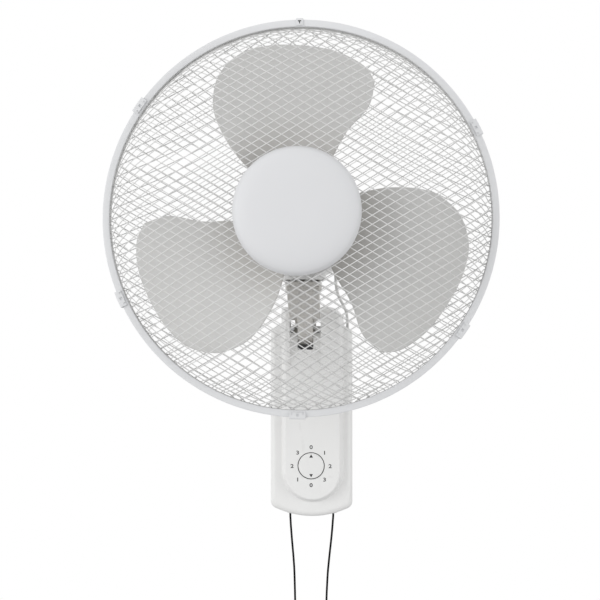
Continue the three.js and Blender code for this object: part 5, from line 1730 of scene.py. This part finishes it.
@dataclass
class MotorHousing(Assembly):
    """Covers of the fan motor, and the nut that holds the rear guard."""

    radius: float = 61.0
    wall: float = 2.5
    front: float = -166.0
    back: float = -57.0
    skirt: float = 24.5
    cover_front: float = -186.6
    cover_tip: float = -201.7
    seat_back: float = -178.3  # back end of the thick seat behind the spigot
    seat_radius: float = 22.0
    spigot: float = 16.0
    bore: float = 12.0
    vent_pitch: float = 9.0
    vent_ring: float = 27.0  # circle that the vents fill
    vent_half: float = 2.0
    collar: float = 2.5  # thickness of the skirt round the neck
    collar_span: Pair = (163.5, 196.0)
    room_low: float = 136.0  # lower end of the room that is cut for the neck
    lead_hole: float = 3.4
    lead_low: float = 156.0
    nut_back: float = -190.8
    nut_radius: float = 32.0
    grips: int = 6
    grip_ring: float = 28.0
    grip_radius: float = 4.0

    def profile(self, inset: float) -> list[Pair]:
        """Half of the rear housing's section.

        Args:
            inset: Distance that the section moves in.

        Returns:
            Pairs of radius and height, from the axis outwards.
        """
        r, back = self.radius, self.back - inset
        corners = [
            (0, back),
            (r - 27 - inset * 0.2, back),
            (r - 13 - inset * 0.6, back - 6),
            (r - 4 - inset * 0.9, back - 17),
            (r - inset, back - 34),
            (r - inset, self.front - inset),
        ]
        return filleted(corners, 9, 5, closed=False)

    def rear(self) -> Object:
        """Rear housing with its skirt, its vents and the hole of the lead.

        Returns:
            The housing.
        """
        obj = made("motor_rear_cover", turned([*self.profile(0), (0, self.front)], 96))
        at_neck, (low, high) = (FAN_X, SWING_Y), self.collar_span
        shaped(obj, Cut.JOIN, rod(self.skirt + self.collar, low, high, Axis.UP, at_neck, 72))
        space = turned([*self.profile(self.wall), (0, self.front - self.wall)], 96)
        vents, tip = [], self.vent_half
        for row in (-2, -1, 0, 1, 2):
            half = math.sqrt(self.vent_ring**2 - (row * self.vent_pitch) ** 2)
            z = FAN_Z + row * self.vent_pitch
            right = arc(FAN_X + half - tip, z, tip, -90, 90, 8)
            left = arc(FAN_X - half + tip, z, tip, 90, 270, 8)
            vents.append(prism([*right, *left], Plane.FRONT, self.back - 9, self.back + 5))
        shaped(
            obj,
            Cut.AWAY,
            space,
            rod(self.skirt, self.room_low, high, Axis.UP, at_neck, 72),
            rod(self.lead_hole, self.lead_low, high, Axis.UP, LEAD_TOP, 32),
            *vents,
        )
        return softened(obj, 0.5)

    def cover(self) -> Object:
        """Front cover with the threaded spigot.

        Returns:
            The cover.
        """
        back, face, wall, r = self.front - GAP, self.cover_front, self.wall, self.radius
        profile = [
            (self.bore, self.cover_tip), (self.spigot, self.cover_tip), (self.spigot, face), (r - 4, face),
            (r, face + 5), (r, back), (r - wall, back), (r - wall, face + 6), (r - 6, face + wall),
            (self.seat_radius, face + wall), (self.seat_radius, self.seat_back), (self.bore, self.seat_back),
        ]
        return made("motor_face_cover", turned(filleted(profile, 0.8), 96))

    def nut(self) -> Object:
        """Nut with a ring of finger grips.

        Returns:
            The nut.
        """
        back, rim, inside = self.nut_back, self.nut_radius, self.spigot + GAP
        profile = [
            (inside, back), (rim, back), (rim, back - 2.5),
            (rim - 5, back - 4), (rim - 7, back - 10), (inside, back - 10),
        ]
        obj = made("guard_holding_nut", turned(filleted(profile, 0.7), 96))
        grips = []
        for i in range(self.grips):
            turn = i * 2 * math.pi / self.grips
            place = (FAN_X + self.grip_ring * math.cos(turn), FAN_Z + self.grip_ring * math.sin(turn))
            grips.append(rod(self.grip_radius, back - 11, back - 4.5, Axis.FAN, place, 24))
        shaped(obj, Cut.AWAY, *grips)
        return softened(obj, 0.4)

    def build(self) -> None:
        """Makes the covers and the nut."""
        self.dress(self.rear(), Slot.WHITE_HOUSING, "head", ["motor_rear_housing"])
        self.dress(self.cover(), Slot.WHITE_HOUSING, "head", ["motor_front_cover"])
        self.dress(self.nut(), Slot.WHITE_HOUSING, "head", ["guard_nut"])


@dataclass
class MotorLead(Assembly):
    """Lead from the motor housing down into the column."""

    radius: float = 1.7
    route: tuple[Triple, ...] = (
        (31, -104, 181), (31, -104, 172), (31.5, -102, 160), (33.5, -96, 149), (37, -86, 141),
        (41, -75, 134), (44.3, -64, 126), (45.6, -55, 116), (45.8, -50.5, 107), (45.8, -50, 98),
    )

    def build(self) -> None:
        """Makes the lead along its curved route from head to neck."""
        points = [Vector(p) for p in self.route]
        path = [spline(points, i / 60) for i in range(61)]
        obj = made("motor_supply_lead", tube(path, self.radius, 16))
        obj.data.materials.append(self.palette.of(Slot.CABLE_SHEATH))
        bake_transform(obj)
        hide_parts("motor_lead")
        LOG.info("%s bends from head to neck", obj.name)


# ------------------------ guards


@dataclass
class Dome:
    """Section of a domed guard, by distance from its middle along the wire."""

    rim_y: float
    depth: float
    side: int  # -1 bulges to the front, 1 to the back
    radius: float = 210.4
    rim_radius: float = 213.7
    power: float = 4.5  # how square the shoulder is
    share: float = 0.97  # part of the curve that is used, so that it meets the ring at a slant
    stretch: float = 0.14  # how much longer a wire gets in the pressing
    steps: int = 600
    bend: float = 1.2  # how far the wire runs on before it turns to the rim
    probe: float = 1.5  # half the length over which the section's direction is taken
    lengths: list[float] = field(default_factory=list)
    places: list[Vector] = field(default_factory=list)

    def __post_init__(self) -> None:
        """Measures the section."""
        for i in range(self.steps + 1):
            t = math.sin(i / self.steps * math.pi / 2)
            rise = self.depth * (self.bow(t) - self.bow(1)) / (1 - self.bow(1))
            self.note(Vector((t * self.radius, self.rim_y + self.side * rise)))
        last = self.places[-1]
        rim = Vector((self.rim_radius - 0.6, self.rim_y + self.side * 0.8))
        for i in range(1, 9):
            t = i / 8
            bend = Vector((last.x + self.bend, last.y))
            self.note(last * (1 - t) ** 2 + bend * (2 * t * (1 - t)) + rim * t**2)

    def bow(self, t: float) -> float:
        """Height of the whole curve, for a depth of 1, at a share of the radius."""
        return math.sqrt(1 - (self.share * t) ** self.power)

    def note(self, place: Vector) -> None:
        """Adds a point of the section.

        Args:
            place: Radius and height of the point.
        """
        step = (place - self.places[-1]).length if self.places else 0.0
        self.lengths.append((self.lengths[-1] if self.lengths else 0.0) + step)
        self.places.append(place)

    @property
    def end(self) -> float:
        """Distance of the rim on the flat mesh, before it is pressed."""
        return self.lengths[-1] / (1 + self.stretch)

    def at(self, s: float) -> Vector:
        """Point of the section at a distance.

        Args:
            s: Distance from the middle, along the section.

        Returns:
            Its radius and height.
        """
        i = min(max(bisect.bisect_left(self.lengths, s), 1), len(self.lengths) - 1)
        low, high = self.lengths[i - 1], self.lengths[i]
        share = min(max((s - low) / (high - low), 0.0), 1.0)
        return self.places[i - 1].lerp(self.places[i], share)

    def reach(self, radius: float) -> float:
        """Distance at which the section has a radius."""
        return next(s for s, p in zip(self.lengths, self.places) if p.x >= radius)

    def surface(self, flat: Vector) -> tuple[Vector, Vector]:
        """Presses a point of the flat mesh onto the dome.

        Args:
            flat: Point of the flat mesh, from its middle.

        Returns:
            Its place on the dome, and the outward direction there.
        """
        s = flat.length * (1 + self.stretch * (flat.length / self.end) ** 4)
        along = (self.at(s + self.probe) - self.at(max(s - self.probe, 0.0))).normalized()
        turn = math.atan2(flat.y, flat.x)
        c, w = math.cos(turn), math.sin(turn)
        p = self.at(s)
        out = Vector((-along.y, along.x)) * self.side
        place = Vector((FAN_X + p.x * c, p.y, FAN_Z + p.x * w))
        return place, Vector((out.x * c, out.y, out.x * w)).normalized()


@dataclass
class Guard(Assembly):
    """Domed guard of two families of crossing wires."""

    dome: Dome = field(default_factory=lambda: Dome(rim_y=-243.9, depth=79.0, side=-1))
    name: str = "front"
    inner: float = 55.0
    pitch: float = 8.0
    slant: float = 31.0
    wire: float = 1.08
    spacing: float = 4.5  # between sections along a wire
    sides: int = 6
    rim_wire: float = 2.4
    plate: Pair = (53.0, 61.0)  # inner and outer radius of the flat ring in the middle

    def line(self, shape: Shape, low: float, high: float, offset: float, family: int) -> None:
        """Adds one wire of a family between two places along it.

        Args:
            shape: Shape that the wire is added to.
            low: First place.
            high: Last place.
            offset: Distance of the wire from the middle of the flat mesh.
            family: 1 or -1, the sign of its slant.
        """
        slant = math.radians(self.slant * family)
        along = Vector((math.cos(slant), math.sin(slant)))
        across = Vector((-along.y, along.x)) * offset
        depth = self.wire * (0.5 if family > 0 else 1.4)
        count = max(3, math.ceil((high - low) / self.spacing))
        spots = []
        for k in range(count + 1):
            place, out = self.dome.surface(across + along * (low + (high - low) * k / count))
            spots.append((place - out * depth, out))
        first, sides = len(shape.corners), self.sides
        for k, (place, out) in enumerate(spots):
            ahead = (spots[min(k + 1, count)][0] - spots[max(k - 1, 0)][0]).normalized()
            out = (out - ahead * out.dot(ahead)).normalized()
            cross = ahead.cross(out)
            for i in range(sides):
                a = 2 * math.pi * i / sides
                arm = out * math.cos(a) + cross * math.sin(a)
                shape.corners.append(place + arm * (self.wire / 2))
        close_tube(shape, first, count + 1, sides)

    def mesh(self) -> Shape:
        """All wires of both families, cut off in the middle.

        Returns:
            The wires as one shape.
        """
        shape = Shape()
        end, hole = self.dome.end, self.dome.reach(self.inner)
        rows = int(end / self.pitch)
        for family in (1, -1):
            for row in range(-rows - 1, rows + 1):
                offset = (row + 0.5) * self.pitch
                if abs(offset) > end - 2:
                    continue
                half = math.sqrt(end**2 - offset**2)
                if abs(offset) < hole:
                    near = math.sqrt(hole**2 - offset**2)
                    self.line(shape, -half, -near, offset, family)
                    self.line(shape, near, half, offset, family)
                else:
                    self.line(shape, -half, half, offset, family)
        return shape

    def rim(self) -> Shape:
        """Round wire at the guard's edge."""
        section = arc(self.dome.rim_radius, self.dome.rim_y, self.rim_wire, 0, 330, 11)
        return turned(section, 180)

    def build(self) -> None:
        """Makes the guard as one piece, with the flat ring or plate in its middle."""
        shape = self.mesh().add(self.rim()).add(self.middle())
        piece = made(f"{self.name}_wire_guard", shape, 40)
        self.dress(piece, Slot.WHITE_WIRE, "head", [f"{self.name}_guard"])

    def middle(self) -> Shape:
        """Flat ring that the wires of the front guard are welded to.

        Returns:
            The ring.
        """
        inner, outer = self.plate
        front = self.dome.rim_y - self.dome.depth + 0.2
        profile = [(inner, front), (outer, front), (outer, front + 3.2), (inner, front + 3.2)]
        return turned(filleted(profile, 0.8), 96)


@dataclass
class RearGuard(Guard):
    """Rear guard, with its pressed plate round the motor's spigot."""

    dome: Dome = field(default_factory=lambda: Dome(rim_y=-236.1, depth=48.7, side=1))
    name: str = "rear"
    pitch: float = 9.0
    plate: Pair = (16.3, 61.0)
    plate_front: float = -190.5
    plate_back: float = -186.9

    def middle(self) -> Shape:
        """Plate with a pressed bead.

        Returns:
            The plate.
        """
        (inner, outer), front, back = self.plate, self.plate_front, self.plate_back
        profile = [
            (inner, front), (34, front), (36, front + 1.0), (48, front + 1.0), (50, front), (outer, front),
            (outer, back), (50, back), (48, back - 0.6), (36, back - 0.6), (34, back), (inner, back),
        ]
        return turned(filleted(profile, 0.6), 96)


@dataclass
class RingAndClips(Assembly):
    """Channel ring that holds both guards, its clips and the catch at its top."""

    radius: float = 218.7
    lip: float = 7.8  # how far the front side reaches in
    back_lip: float = 5.7
    wall: float = 2.4
    front: float = -249.0
    back: float = -231.0
    angles: tuple[float, ...] = (27, 144.7, 204, 269.4, 325.4)
    clip_length: float = 18.0
    clip_height: float = 1.9  # of a clip over the ring
    clip_thick: float = 1.7  # of a clip before the ring's face
    thumb_half: float = 1.4  # half the length of the slot in a clip's middle
    slit_place: float = 6.4  # from a clip's middle to the slits beside the slot
    slit_half: float = 0.9
    catch_half: float = 4.0
    catch_back: float = -238.0
    catch_thick: float = 0.9

    def ring(self) -> Object:
        """The ring, turned from its channel section.

        Returns:
            The ring.
        """
        low, inside = self.radius - self.lip, self.radius - self.wall
        hind = self.radius - self.back_lip
        profile = filleted([
            (low, self.front), (self.radius, self.front), (self.radius, self.back), (hind, self.back),
            (hind, self.back - self.wall), (inside, self.back - self.wall),
            (inside, self.front + self.wall), (low, self.front + self.wall),
        ], 1.1)
        return made("guard_channel_ring", turned(profile, 240))

    def clip(self, number: int, angle: float) -> Object:
        """A clip bent along the ring, with a slot in its middle and a slit on each side.

        Args:
            number: Number of the clip, from 1.
            angle: Where it sits on the ring, in degrees.

        Returns:
            The clip.
        """
        low = self.radius + GAP
        high, inner = low + self.clip_height, low - 6
        face = self.front - GAP
        near, end = face - self.clip_thick, self.back - 0.6
        outer = filleted([
            (low, face), (inner + 0.6, face), (inner, near), (high - 1, near),
            (high, face - 0.8), (high, self.back - 2), (high - 1, end), (low, end),
        ], 0.5, 3)
        half = math.degrees(self.clip_length / 2 / self.radius)
        obj = made(f"snap_clip_{number}", turned(outer, 16, span=(angle - half, angle + half)))
        thumb = math.degrees(self.thumb_half / self.radius)
        wide = math.degrees(self.slit_half / self.radius)
        before = face - 3
        notch = [(214.6, before), (217.6, before), (217.6, face - 0.3), (214.6, face - 0.3)]
        slit = [(212, before), (216, before), (216, face - 0.9), (212, face - 0.9)]
        grooves = [turned(notch, 6, span=(angle - thumb, angle + thumb))]
        for side in (-1, 1):
            at = angle + side * math.degrees(self.slit_place / self.radius)
            grooves.append(turned(slit, 2, span=(at - wide, at + wide)))
        shaped(obj, Cut.AWAY, *grooves)
        return softened(obj, 0.35)

    def catch(self) -> Object:
        """Low tab over the top of the ring, where the front guard hangs while it is clipped.

        Returns:
            The tab.
        """
        face, low, back = self.front - GAP, self.radius + GAP, self.catch_back
        near, high = face - self.catch_thick, low + self.catch_thick
        side = filleted([
            (near, low - 7), (face, low - 7), (face, low), (back, low), (back, high), (near, high),
        ], 0.3, 2)
        outline = [(y, FAN_Z + r) for y, r in side]
        obj = made("top_tab", prism(outline, Plane.SIDE, FAN_X - self.catch_half, FAN_X + self.catch_half))
        return softened(obj, 0.25)

    def painted_slot_shade(self) -> Shape:
        """Black block in the shape of a T, set into the tab's face: painted shade that stands in for a slot.

        Returns:
            The painted shade, a crossbar and a stem.
        """
        near, far, top = self.front - GAP - 0.95, self.front - GAP - 0.6, FAN_Z + self.radius
        bar = block((FAN_X - 1.8, near, top - 2.4), (FAN_X + 1.8, far, top - 1.2))
        return bar.add(block((FAN_X - 0.5, near, top - 4.6), (FAN_X + 0.5, far, top - 2.42)))

    def build(self) -> None:
        """Makes the ring, its clips and the catch, in the cooler white of the ring."""
        pieces = [self.dress(self.ring(), Slot.WHITE_HOUSING, "head", ["guard_ring"])]
        for number, angle in enumerate(self.angles, 1):
            clip = self.clip(number, angle)
            body, node = f"clip_{number}", f"guard_clip_{number}"
            pieces.append(self.dress(clip, Slot.WHITE_HOUSING, body, [node]))
        pieces.append(self.dress(self.catch(), Slot.WHITE_HOUSING, "head", ["top_catch"]))
        for piece in pieces:
            piece.data.materials[0] = self.palette.named("ring_white", RING_WHITE)
        # painted shade: a black T in place of the shadow inside a slot on the tab
        self.dress(made("top_catch_painted_slot_shade", self.painted_slot_shade()), Slot.BLACK_PLASTIC, "head")


@dataclass
class Cap(Assembly):
    """Bare domed cap in the middle of the front guard, and the disc behind it."""

    radius: float = 67.0
    depth: float = 14.0
    wall: float = 2.2
    rim: float = -323.18
    boss: float = 23.0
    boss_wall: float = 3.0
    retainer: float = -319.2
    retainer_radius: float = 61.0
    retainer_thick: float = 2.0

    def shell(self) -> Object:
        """The cap, its dome smooth from the middle to the rim.

        Returns:
            The cap.
        """
        r, front, wall = self.radius, self.rim - self.depth, self.wall
        dome = [(0, front), (r * 0.26, front + 0.12), (r * 0.5, front + 0.7), (r * 0.78, front + 2.8)]
        dome += [(r * 0.94, front + 7), (r, self.rim)]
        points = [Vector(p) for p in dome]
        outside = [spline(points, i / 48) for i in range(49)]
        profile = [
            (max(p.x, 0.0) if i else 0, min(max(p.y, front), self.rim)) for i, p in enumerate(outside)
        ]
        end, bore, ceiling = self.retainer - GAP, self.boss - self.boss_wall, front + wall + 0.6
        profile += [
            (r - wall, self.rim), (r * 0.93 - wall, front + 8), (r * 0.74 - wall, front + 4.6),
            (self.boss, front + wall + 1.2), (self.boss, end), (bore, end), (bore, ceiling), (0, ceiling),
        ]
        return made("guard_cap", turned(profile, 160), 40)

    def disc(self) -> Object:
        """The disc behind the guard.

        Returns:
            The disc.
        """
        inner, outer, y = self.boss - 8, self.retainer_radius, self.retainer
        back = y + self.retainer_thick
        profile = filleted([(inner, y), (outer, y), (outer, back), (inner, back)], 0.5)
        return made("cap_holding_disc", turned(profile, 96))

    def build(self) -> None:
        """Makes the cap and its disc."""
        self.dress(self.shell(), Slot.WHITE_GLOSS, "head", ["front_cap"])
        self.dress(self.disc(), Slot.WHITE_HOUSING, "head", ["cap_retainer"])


# ------------------------ wheel


@dataclass
class Wheel(Assembly):
    """Moulded wheel of a cup-shaped hub and three wide blades."""

    blades: int = 3
    middle: float = -273.0
    hub: float = 41.0
    front: float = -294.0
    back: float = -254.0
    thick: float = 2.2
    hub_wall: float = 3.5
    bore: float = 4.3
    boss: float = 9.0
    ribs: int = 3
    rib_half: float = 0.9
    camber: float = 5.0
    lead_root: float = 0.68  # axial lead in millimetres for each degree
    lead_tip: float = 0.85
    lead_radius: float = 220.0  # where the lead would reach lead_tip, beyond the blade
    edge_out: float = 0.8  # how far the middle of a blade's edge stands out
    centre_angle: float = 97.0
    leading: tuple[Pair, ...] = ((39, 72), (71, 62.5), (108, 61.8), (145, 58.7), (172, 61.5))
    tip: tuple[Pair, ...] = ((172, 61.5), (182, 68), (186, 80), (186.5, 96), (185, 108), (177, 116))
    trailing: tuple[Pair, ...] = ((39, 128), (71, 137), (108, 134), (142, 128.7), (166, 121.5), (177, 116))

    def curve(self, pairs: Sequence[Pair]) -> list[Vector]:
        """Turns radius and angle into points of the front view."""
        return [Vector((r * math.cos(math.radians(a)), r * math.sin(math.radians(a)))) for r, a in pairs]

    def spot(self, u: float, v: float) -> Vector:
        """Point of a blade in the front view, from the four curves round it.

        Args:
            u: Place from the leading to the trailing edge, from 0 to 1.
            v: Place from the hub to the tip, from 0 to 1.

        Returns:
            The point, from the axis.
        """
        lead, tip, trail = self.curve(self.leading), self.curve(self.tip), self.curve(self.trailing)
        angle = math.radians(self.leading[0][1] + (self.trailing[0][1] - self.leading[0][1]) * u)
        root = Vector((math.cos(angle), math.sin(angle))) * self.leading[0][0]
        across = root * (1 - v) + spline(tip, u) * v
        along = spline(lead, v) * (1 - u) + spline(trail, v) * u
        corners = lead[0] * ((1 - u) * (1 - v)) + trail[0] * (u * (1 - v))
        corners += lead[-1] * ((1 - u) * v) + trail[-1] * (u * v)
        return across + along - corners

    def height(self, p: Vector, u: float) -> float:
        """Place of the sheet's middle along the axis.

        Args:
            p: Point of the front view, from the axis.
            u: Place from the leading to the trailing edge, from 0 to 1.

        Returns:
            Its y.
        """
        share = min(max((p.length - self.hub) / (self.lead_radius - self.hub), 0.0), 1.0)
        lead = self.lead_root + (self.lead_tip - self.lead_root) * share
        angle = math.degrees(math.atan2(p.y, p.x))
        return self.middle - lead * (angle - self.centre_angle) + self.camber * share * 4 * u * (1 - u)

    def blade(self, turn: float) -> Shape:
        """A thin twisted sheet with a rounded edge, in three layers of corners.

        Args:
            turn: Angle by which it is turned round the axis, in radians.

        Returns:
            The blade.
        """
        wide, high = 28, 36
        shape = Shape()
        spin = Matrix.Rotation(turn, 2)
        for side in (-1, 0, 1):
            for j in range(high + 1):
                for i in range(wide + 1):
                    p = self.spot(i / wide, j / high)
                    y = self.height(p, i / wide) + side * self.thick / 2
                    if side == 0 and (i in (0, wide) or j == high):
                        inside = self.spot(min(max(i / wide, 0.03), 0.97), min(j / high, 0.97))
                        p = p + (p - inside).normalized() * self.edge_out
                    q = spin @ p
                    shape.corners.append(Vector((FAN_X + q.x, y, FAN_Z + q.y)))
        row, layer = wide + 1, (wide + 1) * (high + 1)
        for j in range(high):
            for i in range(wide):
                a = j * row + i
                quad = (a, a + 1, a + row + 1, a + row)
                shape.faces.append(quad)
                shape.faces.append(tuple(2 * layer + k for k in reversed(quad)))
        edge = [*range(wide), *(wide + j * row for j in range(high))]
        edge += [high * row + wide - i for i in range(wide)] + [(high - j) * row for j in range(high)]
        for n, a in enumerate(edge):
            b = edge[(n + 1) % len(edge)]
            for low in (0, layer):
                shape.faces.append((low + a, low + b, low + layer + b, low + layer + a))
        used = sorted({i for f in shape.faces for i in f})
        order = {old: new for new, old in enumerate(used)}
        return Shape([shape.corners[i] for i in used], [tuple(order[i] for i in f) for f in shape.faces])

    def build(self) -> None:
        """Makes the wheel."""
        r, front, back, boss, bore = self.hub, self.front, self.back, self.boss, self.bore
        inside, behind, end = r - self.hub_wall, front + self.hub_wall, back + 2
        profile = filleted([
            (bore, front), (r - 12, front), (r - 4, front + 3), (r, front + 10), (r, back), (inside, back),
            (inside, front + 11), (r - 12, behind), (boss, behind), (boss, end), (bore, end),
        ], 2.0)
        shape = turned(profile, 96)
        for i in range(self.blades):
            shape.add(self.blade(i * 2 * math.pi / self.blades))
        rib = block((boss - 1, front + 3, -self.rib_half), (r - 2, front + 16, self.rib_half))
        place = Matrix.Translation((FAN_X, 0, FAN_Z))
        for i in range(self.ribs):
            spin = Matrix.Rotation(math.radians(360 / self.ribs * i), 4, "Y")
            shape.add(rib.moved(place @ spin))
        self.dress(made("fan_blades", shape, 40), Slot.BLADE_PLASTIC, "rotor", ["fan_wheel"])


# ------------------------ pieces kept from the frame


KEPT: dict[Slot, tuple[str, ...]] = {
    Slot.BLACK_PLASTIC: ("speed_switch", "run_capacitor"),
    Slot.GREY_HOUSING: ("swing_switch",),
    Slot.NYLON: (
        "terminal_block", "speed_lever", "swing_pull_plunger", "tilt_washer_left", "tilt_washer_right",
        "swing_washer", "swing_bush", "swing_crank",
    ),
    Slot.BRIGHT_STEEL: (
        "speed_pull_link", "swing_post", "swing_retaining_ring", "swing_link", "motor_shaft", "swing_motor",
    ),
    Slot.CAST_ZINC: ("motor_carrier", "front_end_bell", "rear_end_bell"),
    Slot.LAMINATIONS: ("stator_core", "rotor_core"),
    Slot.COPPER: ("winding_front", "winding_rear"),
    Slot.BRONZE: ("front_bearing", "rear_bearing"),
    Slot.WHITE_HOUSING: ("blade_nut",),
}


@dataclass
class InnerWorks(Assembly):
    """Pieces of the frame whose shape stays, with their finishes."""

    def build(self) -> None:
        """Gives each kept node the material of its slot."""
        for slot, nodes in KEPT.items():
            for node in nodes:
                obj = frame["nodes"][node]
                for holder in obj.material_slots:
                    holder.material = self.palette.of(slot)
                LOG.info("%s keeps its shape", node)


def main() -> None:
    """Builds the studio and the fan, sub-assembly by sub-assembly."""
    logging.basicConfig(level=logging.INFO, format="%(message)s")
    Studio().build()
    palette = Palette()
    PullCord(palette, "speed", SPEED_ROUTE).build()
    PullCord(palette, "swing", SWING_ROUTE).build()
    Column(palette).build()
    Dial(palette).build()
    Neck(palette).build()
    MotorHousing(palette).build()
    MotorLead(palette).build()
    Guard(palette).build()
    RearGuard(palette).build()
    RingAndClips(palette).build()
    Cap(palette).build()
    Wheel(palette).build()
    InnerWorks(palette).build()


if __name__ == "__main__":
    main()
